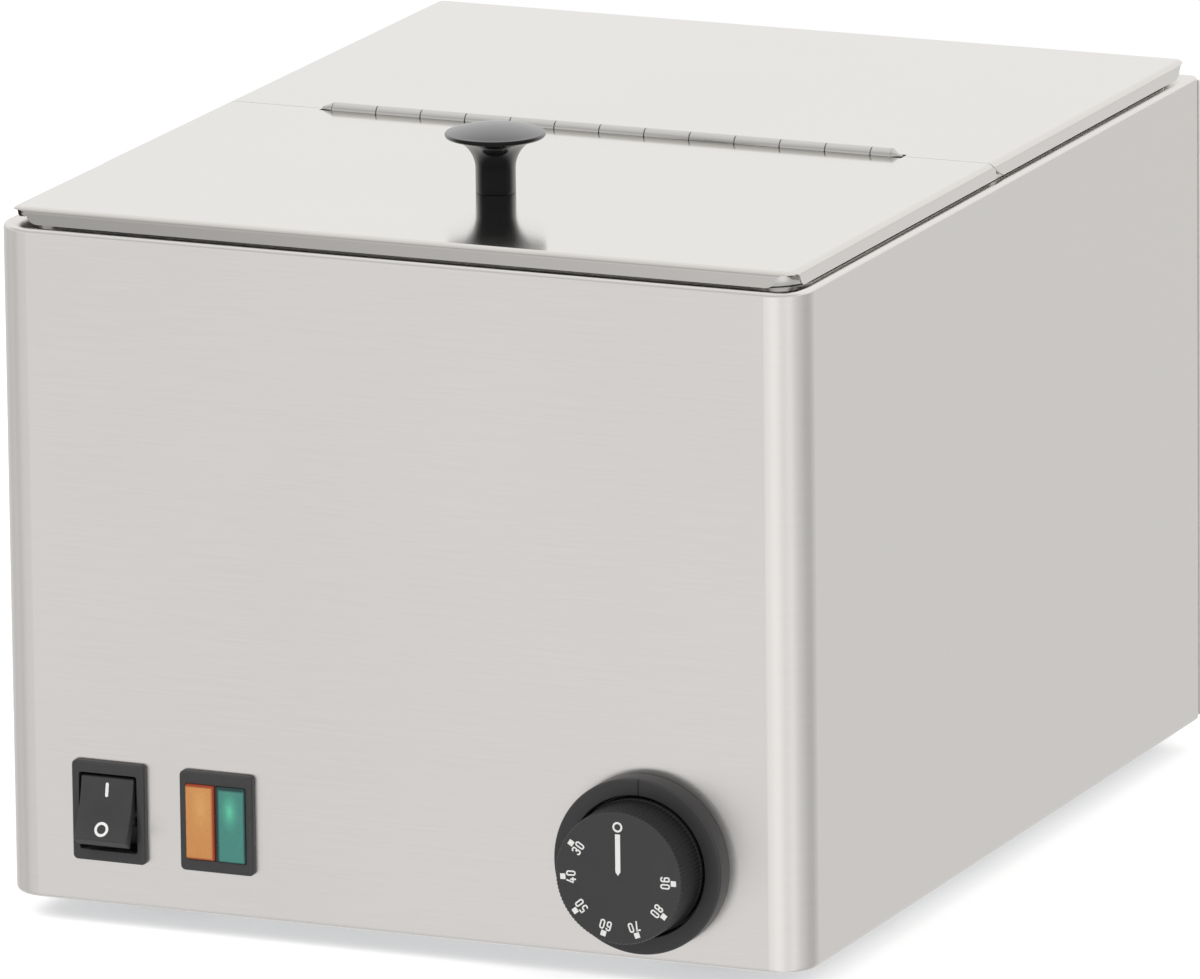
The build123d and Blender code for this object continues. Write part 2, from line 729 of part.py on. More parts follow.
# Mushroom knob, its screw and washer
neck_radius = lid_knob_neck_diameter / 2
cap_radius = lid_knob_diameter / 2
knob_bore = knob_screw_diameter / 2 + hole_play
knob_bore_depth = knob_screw_length
cap_top = lid_knob_rim_height + lid_knob_dome
with BuildPart() as lid_knob:
    with BuildSketch(Plane(origin=(lid_knob_x, lid_knob_y, lid_top), x_dir=(1, 0, 0), z_dir=(0, -1, 0))):
        with BuildLine():
            flare = TangentArc((neck_radius, lid_knob_neck_height),
                               (cap_radius - lid_knob_edge, lid_knob_rim_height - lid_knob_edge),
                               tangent=(0, 1))
            rim = ThreePointArc(flare @ 1, (cap_radius, lid_knob_rim_height),
                                (cap_radius - lid_knob_edge, lid_knob_rim_height + lid_knob_edge))
            TangentArc((0, cap_top), rim @ 1, tangent=(1, 0))
            Polyline((0, cap_top), (0, knob_bore_depth), (knob_bore, knob_bore_depth), (knob_bore, 0),
                     (neck_radius, 0), (neck_radius, lid_knob_neck_height))
        make_face()
    revolve(axis=Axis((lid_knob_x, lid_knob_y, lid_top), (0, 0, 1)))
lid_knob.part.label = "lid_knob"
export_step(lid_knob.part, "parts/lid_knob.step")
with BuildPart() as knob_washer:
    with BuildSketch(Plane.XY.offset(lid_underside)):
        with Locations((lid_knob_x, lid_knob_y)):
            Circle(knob_washer_diameter / 2)
            Circle(knob_bore, mode=Mode.SUBTRACT)
    extrude(amount=-knob_washer_thickness)
knob_washer.part.label = "knob_washer"
export_step(knob_washer.part, "parts/knob_washer.step")
washer_plane = Plane(origin=(0, 0, lid_underside - knob_washer_thickness), x_dir=(1, 0, 0),
                     z_dir=(0, 0, -1))
knob_screw_reach = knob_screw_length - hole_play + lid_sheet + knob_washer_thickness
screw_group("knob_screw", washer_plane, [(lid_knob_x, -lid_knob_y)], knob_screw_diameter,
            knob_screw_reach, 2 * knob_screw_diameter, screw_head_height)


# Bezel and body of a control that snaps into a rectangular hole
def control_shell(x, depth):
    bezel_plane = panel_front.offset(bezel_thickness)
    with BuildPart() as shell:
        with BuildSketch(panel_front):
            with Locations((x, control_z)):
                RectangleRounded(bezel_width, bezel_height, bezel_corner)
        extrude(amount=bezel_thickness)
        chamfer(shell.edges().sort_by(Axis.Y).filter_by_position(
            Axis.Y, front_y - bezel_thickness - touch_gap, front_y - bezel_thickness + touch_gap),
            bezel_bevel)
        with BuildSketch(bezel_plane.offset(-bezel_thickness)):
            with Locations((x, control_z)):
                Rectangle(cutout_width - 2 * cutout_play, cutout_height - 2 * cutout_play)
        extrude(amount=-depth)
    return shell.part


# Flat spade blades that stand out of the back of a control
def blade_group(name, back_y, spots):
    with BuildPart() as blades:
        blade_plane = Plane(origin=(0, back_y - blade_root, 0), x_dir=(-1, 0, 0), z_dir=(0, 1, 0))
        with BuildSketch(blade_plane):
            with Locations(*[(-x, z) for x, z in spots]):
                Rectangle(blade_thickness, blade_width)
        extrude(amount=blade_root + blade_length)
    blades.part.label = name
    export_step(blades.part, f"parts/{name}.step")


# Slots in the back of a control that hold the spade blades
def blade_slots(back_y, spots):
    slot_plane = Plane(origin=(0, back_y, 0), x_dir=(-1, 0, 0), z_dir=(0, 1, 0))
    with BuildPart() as slots:
        with BuildSketch(slot_plane):
            with Locations(*[(-x, z) for x, z in spots]):
                Rectangle(blade_thickness + 2 * running_clearance, blade_width + 2 * running_clearance)
        extrude(amount=-blade_root)
    return slots.part


# Rocker switch housing
switch_back = front_y + switch_depth
switch_blades = [(switch_x + side * cutout_width / 4, control_z + row * cutout_height / 4)
                 for side in (-1, 1) for row in (-1, 1)]
switch_shell = control_shell(switch_x, switch_depth)
rocker_axis_plane = Plane(origin=(switch_x, front_y, control_z), x_dir=(0, -1, 0), z_dir=(-1, 0, 0))
trunnion_span = rocker_width + 2 * trunnion_length
with BuildPart() as switch_housing:
    add(switch_shell)
    with BuildSketch(panel_front.offset(bezel_thickness)):
        with Locations((switch_x, control_z)):
            Rectangle(switch_opening_width, switch_opening_height)
    extrude(amount=-(bezel_thickness + switch_pocket), mode=Mode.SUBTRACT)
    with BuildSketch(rocker_axis_plane):
        Circle(trunnion_diameter / 2 + running_clearance)
    extrude(amount=trunnion_span / 2 + running_clearance, both=True, mode=Mode.SUBTRACT)
    add(blade_slots(switch_back, switch_blades), mode=Mode.SUBTRACT)
switch_housing.part.label = "switch_housing"
export_step(switch_housing.part, "parts/switch_housing.step")
blade_group("switch_terminals", switch_back, switch_blades)

# Rocker: a slice of a round bar with a dished face, on a stem with two trunnions,
# drawn with its upper end pressed in
rocker_radius = math.hypot(rocker_half_length, rocker_face_height)
skirt_reach = math.sqrt(rocker_radius ** 2 - rocker_skirt ** 2)
skirt_angle = (math.atan2(rocker_half_length, rocker_face_height)
               + math.atan2(skirt_reach, rocker_skirt)) / 2
skirt_bow = (rocker_radius * math.cos(skirt_angle), rocker_radius * math.sin(skirt_angle))
tilt = math.radians(rocker_tilt)
rocker_plane = Plane(origin=rocker_axis_plane.origin, x_dir=(0, -math.cos(tilt), math.sin(tilt)),
                     z_dir=(-1, 0, 0))
with BuildPart() as switch_rocker:
    with BuildSketch(rocker_plane):
        with BuildLine():
            ThreePointArc((rocker_face_height, rocker_half_length),
                          (rocker_face_height - rocker_face_dip, 0),
                          (rocker_face_height, -rocker_half_length))
            ThreePointArc((rocker_face_height, rocker_half_length), skirt_bow,
                          (rocker_skirt, skirt_reach))
            ThreePointArc((rocker_face_height, -rocker_half_length), (skirt_bow[0], -skirt_bow[1]),
                          (rocker_skirt, -skirt_reach))
            Polyline((rocker_skirt, skirt_reach), (rocker_skirt, rocker_stem_width / 2),
                     (-rocker_stem_depth, rocker_stem_width / 2),
                     (-rocker_stem_depth, -rocker_stem_width / 2),
                     (rocker_skirt, -rocker_stem_width / 2), (rocker_skirt, -skirt_reach))
        make_face()
    extrude(amount=rocker_width / 2, both=True)
    with BuildSketch(rocker_axis_plane):
        Circle(trunnion_diameter / 2)
    extrude(amount=trunnion_span / 2 - running_clearance, both=True)
switch_rocker.part.label = "switch_rocker"
export_step(switch_rocker.part, "parts/switch_rocker.step")

# Twin indicator housing, lenses, bulbs and blades
lamp_back = front_y + lamp_depth
lens_offset = (lens_width + lens_gap) / 2
lens_spots = {"amber_lens": lamp_x - lens_offset, "green_lens": lamp_x + lens_offset}
lamp_blades = [(x, control_z + row * cutout_height / 4) for x in lens_spots.values() for row in (-1, 1)]
bulb_pocket_depth = bulb_length + lens_depth
lamp_shell = control_shell(lamp_x, lamp_depth)
with BuildPart() as lamp_housing:
    add(lamp_shell)
    for lens_x in lens_spots.values():
        with BuildSketch(panel_front.offset(bezel_thickness)):
            with Locations((lens_x, control_z)):
                Rectangle(lens_width + 2 * lens_play, lens_height + 2 * lens_play)
        extrude(amount=-lens_depth, mode=Mode.SUBTRACT)
        with BuildSketch(panel_front.offset(bezel_thickness - lens_depth)):
            with Locations((lens_x, control_z)):
                Rectangle(lens_width - 2 * control_wall, lens_height - 2 * control_wall)
        extrude(amount=-(bulb_length + control_wall), mode=Mode.SUBTRACT)
    add(blade_slots(lamp_back, lamp_blades), mode=Mode.SUBTRACT)
lamp_housing.part.label = "lamp_housing"
export_step(lamp_housing.part, "parts/lamp_housing.step")
blade_group("lamp_terminals", lamp_back, lamp_blades)

for lens_name, lens_x in lens_spots.items():
    lens_back = bezel_thickness - lens_depth
    with BuildPart() as lens:
        with BuildSketch(panel_front.offset(lens_back)):
            with Locations((lens_x, control_z)):
                Rectangle(lens_width, lens_height)
        extrude(amount=lens_depth + lens_proud)
        chamfer(lens.faces().sort_by(Axis.Y)[0].edges(), lens_bevel)
    lens.part.label = lens_name
    export_step(lens.part, f"parts/{lens_name}.step")

with BuildPart() as lamp_bulbs:
    with BuildSketch(panel_front.offset(bezel_thickness - lens_depth - control_wall)):
        with Locations(*[(x, control_z) for x in lens_spots.values()]):
            Circle(bulb_diameter / 2)
    extrude(amount=-bulb_length)
    fillet(lamp_bulbs.edges().group_by(Axis.Y)[0], bulb_diameter / 4)
lamp_bulbs.part.label = "lamp_bulbs"
export_step(lamp_bulbs.part, "parts/lamp_bulbs.step")

# Dial ring round the thermostat knob, with a floor under the two screws
dial_profile = Plane(origin=(dial_x, front_y, dial_z), x_dir=(1, 0, 0), z_dir=(0, 0, -1))
dial_axis = Axis((dial_x, front_y, dial_z), (0, -1, 0))
ring_radius = ring_diameter / 2
with BuildPart() as thermostat_ring:
    with BuildSketch(dial_profile):
        with BuildLine():
            Polyline((bushing_diameter / 2 + hole_play, 0), (ring_radius, 0),
                     (ring_radius, ring_height - ring_edge), (ring_radius - ring_edge, ring_height),
                     (ring_bore / 2, ring_height), (ring_bore / 2, ring_floor),
                     (bushing_diameter / 2 + hole_play, ring_floor), close=True)
        make_face()
    revolve(axis=dial_axis)
    with BuildSketch(panel_front.offset(ring_floor)):
        with Locations(*dial_screw_spots):
            Circle(dial_screw_diameter / 2 + hole_play)
    extrude(amount=-ring_floor, mode=Mode.SUBTRACT)
    with BuildSketch(panel_front.offset(ring_height)):
        with Locations((dial_x, dial_z + (ring_radius + ring_bore / 2) / 2)):
            Rectangle(index_width, ring_radius)
    extrude(amount=-index_depth, mode=Mode.SUBTRACT)
thermostat_ring.part.label = "thermostat_ring"
export_step(thermostat_ring.part, "parts/thermostat_ring.step")
screw_group("thermostat_screws", panel_front.offset(ring_floor), dial_screw_spots,
            dial_screw_diameter, dial_screw_length, screw_head_diameter, screw_head_height)

# Thermostat knob: a hollow cap with a hub on the spindle
dial_bottom = ring_floor + dial_lift
dial_base_radius = dial_base_diameter / 2
dial_face_radius = dial_face_diameter / 2
hollow_depth = dial_projection - dial_face_thickness
hub_bottom = ring_floor + screw_head_height
flat_height = spindle_diameter / 2 - spindle_flat
with BuildPart() as thermostat_knob:
    with BuildSketch(dial_profile):
        with BuildLine():
            Polyline((0, hollow_depth), (dial_hub_diameter / 2, hollow_depth),
                     (dial_face_radius - dial_wall, hollow_depth),
                     (dial_base_radius - dial_wall, dial_bottom), (dial_base_radius, dial_bottom),
                     (dial_face_radius, dial_projection - dial_edge),
                     (dial_face_radius - dial_edge, dial_projection), (0, dial_projection), close=True)
        make_face()
    revolve(axis=dial_axis)
    with BuildSketch(panel_front.offset(hollow_depth)):
        with Locations((dial_x, dial_z)):
            Circle(dial_hub_diameter / 2)
    extrude(amount=-(hollow_depth - hub_bottom))
    with BuildSketch(panel_front.offset(spindle_reach + spindle_play)) as bore:
        with Locations((dial_x, dial_z)):
            Circle(spindle_diameter / 2 + spindle_play)
        with Locations((dial_x, dial_z - flat_height - spindle_play - spindle_diameter / 2)):
            Rectangle(2 * spindle_diameter, spindle_diameter, mode=Mode.SUBTRACT)
    extrude(amount=-spindle_reach, mode=Mode.SUBTRACT)
thermostat_knob.part.label = "thermostat_knob"
export_step(thermostat_knob.part, "parts/thermostat_knob.step")

# Thermostat body with its bushing, and the spindle that turns in it
thermostat_back = inner_front_y + thermostat_depth
spindle_depth = 10.0
spindle_collar = 2.0
capillary_z = dial_z + thermostat_height / 4
thermostat_blades = [(dial_x + side * thermostat_width / 4, dial_z - thermostat_height / 4)
                     for side in (-1, 1)]
with BuildPart() as thermostat_body:
    with BuildSketch(panel_inside):
        with Locations((-dial_x, dial_z)):
            RectangleRounded(thermostat_width, thermostat_height, 2 * control_wall)
    extrude(amount=thermostat_depth)
    with BuildSketch(panel_inside):
        with Locations((-dial_x, dial_z)):
            Circle(bushing_diameter / 2)
    extrude(amount=-bushing_length)
    with BuildSketch(panel_inside.offset(-bushing_length)):
        with Locations((-dial_x, dial_z)):
            Circle(spindle_diameter / 2 + running_clearance)
    extrude(amount=bushing_length + spindle_depth, mode=Mode.SUBTRACT)
    with BuildSketch(panel_inside):
        with Locations(*[(-x, z) for x, z in dial_screw_spots]):
            Circle(dial_screw_diameter / 2 + hole_play)
    extrude(amount=dial_screw_length, mode=Mode.SUBTRACT)
    with BuildSketch(panel_inside.offset(thermostat_depth)):
        with Locations((-dial_x, capillary_z)):
            Circle(capillary_diameter / 2 + hole_play)
    extrude(amount=-control_wall, mode=Mode.SUBTRACT)
    add(blade_slots(thermostat_back, thermostat_blades), mode=Mode.SUBTRACT)
thermostat_body.part.label = "thermostat_body"
export_step(thermostat_body.part, "parts/thermostat_body.step")
blade_group("thermostat_terminals", thermostat_back, thermostat_blades)

with BuildPart() as thermostat_spindle:
    with BuildSketch(panel_front.offset(spindle_reach)):
        with Locations((dial_x, dial_z)):
            Circle(spindle_diameter / 2)
    extrude(amount=-(spindle_reach + casing_sheet + spindle_depth - running_clearance))
    with BuildSketch(panel_front.offset(spindle_reach)):
        with Locations((dial_x, dial_z - flat_height - spindle_diameter / 2)):
            Rectangle(2 * spindle_diameter, spindle_diameter)
    extrude(amount=-(spindle_reach - hub_bottom), mode=Mode.SUBTRACT)
thermostat_spindle.part.label = "thermostat_spindle"
export_step(thermostat_spindle.part, "parts/thermostat_spindle.step")

# Heating element: one tube bent in a flat loop under the well, its ends turned down
heater_z = well_underside - touch_gap - heater_tube_diameter / 2
heater_y = lid_middle


def heater_point(x, y, drop=0.0):
    return (pan_x + x, heater_y + y, heater_z - drop)


heater_points = [heater_point(-heater_end_gap, heater_back, heater_tail + heater_bend_radius),
                 heater_point(-heater_end_gap, heater_back),
                 heater_point(-heater_outer_leg, heater_back),
                 heater_point(-heater_outer_leg, -heater_front),
                 heater_point(-heater_inner_leg, -heater_front),
                 heater_point(-heater_inner_leg, heater_middle),
                 heater_point(heater_inner_leg, heater_middle),
                 heater_point(heater_inner_leg, -heater_front),
                 heater_point(heater_outer_leg, -heater_front),
                 heater_point(heater_outer_leg, heater_back),
                 heater_point(heater_end_gap, heater_back),
                 heater_point(heater_end_gap, heater_back, heater_tail + heater_bend_radius)]
heating_element = bent_rod(heater_points, heater_tube_diameter, heater_bend_radius)
heating_element.label = "heating_element"
export_step(heating_element, "parts/heating_element.step")

# Welded studs, clamp bars over the tube and their nuts
stud_rows = (heater_y - heater_front * 0.6, heater_y + heater_middle * 1.5)
stud_spots = [(pan_x + side * stud_offset, row) for side in (-1, 1) for row in stud_rows]
clamp_top = heater_z - heater_tube_diameter / 2 - touch_gap
with BuildPart() as well_studs:
    with BuildSketch(Plane.XY.offset(well_underside)):
        with Locations(*stud_spots):
            Circle(stud_diameter / 2)
    extrude(amount=-stud_length)
well_studs.part.label = "well_studs"
export_step(well_studs.part, "parts/well_studs.step")
with BuildPart() as heater_clamps:
    with BuildSketch(Plane.XY.offset(clamp_top)):
        with Locations(*[(pan_x, row) for row in stud_rows]):
            SlotOverall(clamp_length, clamp_width)
        with Locations(*stud_spots):
            Circle(stud_diameter / 2 + hole_play, mode=Mode.SUBTRACT)
    extrude(amount=-clamp_sheet)
heater_clamps.part.label = "heater_clamps"
export_step(heater_clamps.part, "parts/heater_clamps.step")
clamp_nut_top = clamp_top - clamp_sheet
nut_group("clamp_nuts", Plane.XY.offset(clamp_nut_top - nut_height), stud_spots, stud_diameter,
          nut_across, nut_height)

# Heat shield on the same studs, open under the tube's ends and the safety cut-out
shield_top = clamp_nut_top - nut_height - touch_gap
cut_out_y = heater_y + heater_middle - heater_bend_radius - cutout_disc_diameter
with BuildPart() as heat_shield:
    with BuildSketch(Plane.XY.offset(shield_top)):
        with Locations((pan_x, heater_y)):
            RectangleRounded(shield_width, shield_length, heater_tube_diameter)
        with Locations((pan_x, heater_y + heater_back)):
            Rectangle(shield_window_width, shield_window_length, mode=Mode.SUBTRACT)
        with Locations((pan_x, cut_out_y)):
            Circle(shield_hole / 2, mode=Mode.SUBTRACT)
        with Locations(*stud_spots):
            Circle(stud_diameter / 2 + hole_play, mode=Mode.SUBTRACT)
    extrude(amount=-shield_sheet)
heat_shield.part.label = "heat_shield"
export_step(heat_shield.part, "parts/heat_shield.step")
nut_group("shield_nuts", Plane.XY.offset(shield_top - shield_sheet - nut_height), stud_spots,
          stud_diameter, nut_across, nut_height)

# Safety cut-out: a disc on a flange under the well, with two blades below
with BuildPart() as overheat_cutout:
    with BuildSketch(Plane.XY.offset(well_underside - touch_gap)):
        with Locations((pan_x, cut_out_y)):
            SlotOverall(2 * cutout_disc_diameter, cutout_disc_diameter * 0.7)
    extrude(amount=-clip_sheet)
    with BuildSketch(Plane.XY.offset(well_underside - touch_gap)):
        with Locations((pan_x, cut_out_y)):
            Circle(cutout_disc_diameter / 2)
    extrude(amount=-cutout_disc_height)
    with BuildSketch(Plane.XY.offset(well_underside - touch_gap - cutout_disc_height)):
        with Locations(*[(pan_x + side * cutout_disc_diameter / 4, cut_out_y) for side in (-1, 1)]):
            Rectangle(blade_thickness, blade_width)
    extrude(amount=-blade_length)
overheat_cutout.part.label = "overheat_cutout"
export_step(overheat_cutout.part, "parts/overheat_cutout.step")

# Temperature sensor under the well, its clip and the capillary to the thermostat
sensor_z = well_underside - sensor_gap - sensor_diameter / 2
sensor_front = heater_y - heater_front
with BuildPart() as sensor_bulb:
    with BuildSketch(Plane(origin=(pan_x, sensor_front, sensor_z), x_dir=(1, 0, 0), z_dir=(0, 1, 0))):
        Circle(sensor_diameter / 2)
    extrude(amount=sensor_length)
    fillet(sensor_bulb.edges().group_by(Axis.Y)[-1], sensor_diameter / 4)
sensor_bulb.part.label = "sensor_bulb"
export_step(sensor_bulb.part, "parts/sensor_bulb.step")

clip_inner = sensor_diameter / 2 + sensor_gap
clip_outer = clip_inner + clip_sheet
with BuildPart() as sensor_clip:
    with BuildSketch(Plane(origin=(pan_x, sensor_front + sensor_length / 2, sensor_z), x_dir=(1, 0, 0),
                           z_dir=(0, -1, 0))):
        Circle(clip_outer)
        with Locations((0, clip_inner / 2)):
            Rectangle(2 * clip_outer, clip_inner)
        with Locations((0, clip_inner - clip_sheet / 2)):
            Rectangle(2 * (clip_outer + clip_ear), clip_sheet)
        Circle(clip_inner, mode=Mode.SUBTRACT)
        with Locations((0, clip_inner)):
            Rectangle(2 * clip_inner, 2 * clip_inner, mode=Mode.SUBTRACT)
        with Locations((0, clip_inner + clip_outer / 2)):
            Rectangle(4 * clip_outer, clip_outer, mode=Mode.SUBTRACT)
    extrude(amount=clip_length / 2, both=True)
sensor_clip.part.label = "sensor_clip"
export_step(sensor_clip.part, "parts/sensor_clip.step")

capillary_turn = (thermostat_back + sensor_front) / 2
capillary_points = [(dial_x, thermostat_back - control_wall, capillary_z),
                    (dial_x, capillary_turn, capillary_z),
                    (dial_x - heater_bend_radius, capillary_turn, sensor_z),
                    (pan_x, capillary_turn, sensor_z),
                    (pan_x, sensor_front, sensor_z)]
capillary = bent_rod(capillary_points, capillary_diameter, capillary_bend)
capillary.label = "capillary"
export_step(capillary, "parts/capillary.step")

# Cable gland through the rear panel: threaded body, inner locknut and outer dome nut
gland_projection = dial_projection
with BuildPart() as cable_gland:
    with BuildSketch(rear_face):
        with Locations((-gland_x, gland_z)):
            RegularPolygon(gland_hex / 2, 6, major_radius=False)
    extrude(amount=gland_collar)
    with BuildSketch(rear_face.offset(gland_collar + gland_thread_length)):
        with Locations((-gland_x, gland_z)):
            Circle(gland_thread_diameter / 2)
    extrude(amount=-(gland_collar + 2 * gland_thread_length))
    with BuildSketch(rear_face.offset(gland_collar + gland_thread_length)):
        with Locations((-gland_x, gland_z)):
            Circle(gland_bore / 2)
    extrude(amount=-(gland_collar + 2 * gland_thread_length), mode=Mode.SUBTRACT)
cable_gland.part.label = "cable_gland"
export_step(cable_gland.part, "parts/cable_gland.step")

with BuildPart() as gland_nut:
    nut_axis_plane = Plane(origin=(gland_x, rear_y, gland_z), x_dir=(1, 0, 0), z_dir=(0, 0, 1))
    nut_shoulder = gland_collar + gland_thread_length
    with BuildSketch(rear_face.offset(gland_collar)):
        with Locations((-gland_x, gland_z)):
            RegularPolygon(gland_hex / 2, 6, major_radius=False)
    extrude(amount=gland_thread_length * 0.75)
    with BuildSketch(nut_axis_plane):
        with BuildLine():
            shoulder = Polyline((0, gland_collar), (gland_hex / 2, gland_collar),
                                (gland_hex / 2, gland_collar + gland_thread_length * 0.75))
            crown = ThreePointArc(shoulder @ 1, (gland_hex * 0.45, gland_projection * 0.8),
                                  (gland_nut_tip_diameter / 2, gland_projection))
            Polyline(crown @ 1, (0, gland_projection), (0, gland_collar))
        make_face()
    revolve(axis=Axis((gland_x, rear_y, gland_z), (0, 1, 0)))
    with BuildSketch(rear_face.offset(gland_collar)):
        with Locations((-gland_x, gland_z)):
            Circle(gland_thread_diameter / 2 + hole_play)
    extrude(amount=gland_thread_length + hole_play, mode=Mode.SUBTRACT)
    with BuildSketch(rear_face):
        with Locations((-gland_x, gland_z)):
            Circle(gland_bore / 2)
    extrude(amount=gland_projection, mode=Mode.SUBTRACT)
gland_nut.part.label = "gland_nut"
export_step(gland_nut.part, "parts/gland_nut.step")
locknut_plane = Plane(origin=(0, shell_back - locknut_height, 0), x_dir=(-1, 0, 0), z_dir=(0, 1, 0))
nut_group("gland_locknut", locknut_plane, [(-gland_x, gland_z)], gland_thread_diameter, gland_hex,
          locknut_height)

# Terminal block with its clamp screws, and the earth stud with its nuts
pole_pitch = block_width / 3
pole_spots = [(block_x + i * pole_pitch, block_y) for i in (-1, 0, 1)]
block_top = casing_bottom + block_height
pole_z = casing_bottom + block_height / 2
pole_screw_length = 5.0
block_back_y = block_y + block_length / 2
block_front_y = block_y - block_length / 2
with BuildPart() as terminal_block:
    with BuildSketch(Plane.XY.offset(casing_bottom)):
        with Locations((block_x, block_y)):
            Rectangle(block_width, block_length)
    extrude(amount=block_height)
    fillet(terminal_block.edges().filter_by(Axis.Z), control_wall)
    with BuildSketch(Plane.XY.offset(block_top)):
        with Locations(*pole_spots):
            Circle(screw_diameter / 2 + hole_play)
    extrude(amount=-pole_screw_length, mode=Mode.SUBTRACT)
    with BuildSketch(Plane(origin=(0, block_front_y, 0), x_dir=(1, 0, 0), z_dir=(0, -1, 0))):
        with Locations(*[(x, pole_z) for x, y in pole_spots]):
            Circle(wire_diameter / 2 + hole_play)
    extrude(amount=-block_length, mode=Mode.SUBTRACT)
terminal_block.part.label = "terminal_block"
export_step(terminal_block.part, "parts/terminal_block.step")
screw_group("terminal_screws", Plane.XY.offset(block_top), pole_spots, screw_diameter,
            pole_screw_length - hole_play, screw_head_diameter * 0.8, screw_head_height * 0.8)

earth_length = 16.0
with BuildPart() as earth_stud:
    with BuildSketch(Plane.XY.offset(foot_height)):
        with Locations((earth_x, block_y)):
            Circle(foot_screw_diameter)
    extrude(amount=-screw_head_height)
    with BuildSketch(Plane.XY.offset(foot_height)):
        with Locations((earth_x, block_y)):
            Circle(foot_screw_diameter / 2)
    extrude(amount=earth_length)
earth_stud.part.label = "earth_stud"
export_step(earth_stud.part, "parts/earth_stud.step")
nut_group("earth_nut", Plane.XY.offset(casing_bottom), [(earth_x, block_y)], foot_screw_diameter,
          nut_across, nut_height)

# Wires from the front controls back to the terminal block
block_entries = [(x, block_front_y - wire_gap, pole_z) for x, y in pole_spots]
wire_lead = 3 * wire_bend


def wire(blade, back_y, entry):
    start = (blade[0], back_y + blade_length + wire_gap, blade[1])
    return bent_rod([start, (start[0], start[1] + wire_lead, start[2]),
                     (entry[0], entry[1] - wire_lead, entry[2]), entry], wire_diameter, wire_bend)


with BuildPart() as wiring:
    add(wire(switch_blades[0], switch_back, block_entries[0]))
    add(wire(switch_blades[2], switch_back, block_entries[1]))
    add(wire(thermostat_blades[0], thermostat_back, block_entries[2]))
wiring.part.label = "wiring"
export_step(wiring.part, "parts/wiring.step")
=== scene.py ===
import json
import math
import bmesh
import bpy
import numpy as np
from mathutils import Matrix, Vector


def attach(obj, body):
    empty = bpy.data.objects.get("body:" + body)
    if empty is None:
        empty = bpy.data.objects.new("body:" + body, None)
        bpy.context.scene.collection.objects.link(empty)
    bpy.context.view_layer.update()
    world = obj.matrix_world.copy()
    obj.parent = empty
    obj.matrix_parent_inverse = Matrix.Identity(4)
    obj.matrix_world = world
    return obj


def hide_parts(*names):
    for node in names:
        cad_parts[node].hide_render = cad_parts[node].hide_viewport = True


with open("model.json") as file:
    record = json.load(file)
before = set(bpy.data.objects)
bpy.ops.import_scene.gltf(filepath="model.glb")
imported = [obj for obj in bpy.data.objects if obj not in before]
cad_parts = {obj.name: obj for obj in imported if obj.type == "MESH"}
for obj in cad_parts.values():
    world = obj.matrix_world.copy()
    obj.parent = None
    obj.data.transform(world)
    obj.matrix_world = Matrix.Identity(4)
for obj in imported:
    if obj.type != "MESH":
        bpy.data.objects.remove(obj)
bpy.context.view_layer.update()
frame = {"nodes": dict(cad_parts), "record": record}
nodes = frame["nodes"]
slotOf = {part["node"]: part["material_slot"] for part in frame["record"]["subparts"]}
print("frame loaded:", len(nodes), "CAD nodes")

mm = 0.001  # the CAD sizes below are in millimetres
mergeReach = 2e-7  # points of one piece that are nearer than this, in metres, become one
nearlyStraight = 1.55  # half of a corner's opening, in radians, past which it isn't rounded
edgeRadius = 0.15  # by how much the light rounds the metal's edges

# where the front controls sit on the front panel, and how far ahead of it the lenses' colour is centred
panel = {"face": -170.5, "controlHeight": 38.9, "switchX": -99.9, "lampX": -62.3, "dialX": 84.6,
         "dialHeight": 40.3, "lensAhead": 3.0}
panelRight = np.array([1.0, 0.0, 0.0])
panelUp = np.array([0.0, 0.0, 1.0])
panelOut = np.array([0.0, -1.0, 0.0])

# Shapes as grids


# each inner corner of an open path becomes an arc that touches both its sides,
# with the corner's third number as its radius
def roundedPath(corners, steps=8):
    spots = np.array([c[:2] for c in corners], float)
    runs = [spots[:1]]
    for i in range(1, len(corners) - 1):
        size = corners[i][2] if len(corners[i]) > 2 else 0.0
        back, ahead = spots[i - 1] - spots[i], spots[i + 1] - spots[i]
        back, ahead = back / np.linalg.norm(back), ahead / np.linalg.norm(ahead)
        half = math.acos(float(np.clip(back @ ahead, -1, 1))) / 2
        if size <= 0 or half > nearlyStraight:
            runs.append(spots[i:i + 1])
            continue
        middle = spots[i] + (back + ahead) / np.linalg.norm(back + ahead) * size / math.sin(half)
        first = spots[i] + back * size / math.tan(half) - middle
        last = spots[i] + ahead * size / math.tan(half) - middle
        share = np.linspace(0, 1, steps + 1)[:, None]
        opening = math.pi - 2 * half
        arc = (np.sin((1 - share) * opening) * first + np.sin(share * opening) * last) / math.sin(opening)
        runs.append(middle + arc)
    runs.append(spots[-1:])
    return np.vstack(runs)


# point = centre + radius x (sine of the angle to the right + cosine of it upwards) + height x axis
def turnedGrid(profile, centre, right, up, axis, angles, wave=0.0, dent=0.0):
    radius = profile[:, 0][:, None] + wave
    height = profile[:, 1][:, None] + dent
    spots = (radius * np.sin(angles))[..., None] * right + (radius * np.cos(angles))[..., None] * up
    return centre + spots + (height + 0 * angles)[..., None] * axis


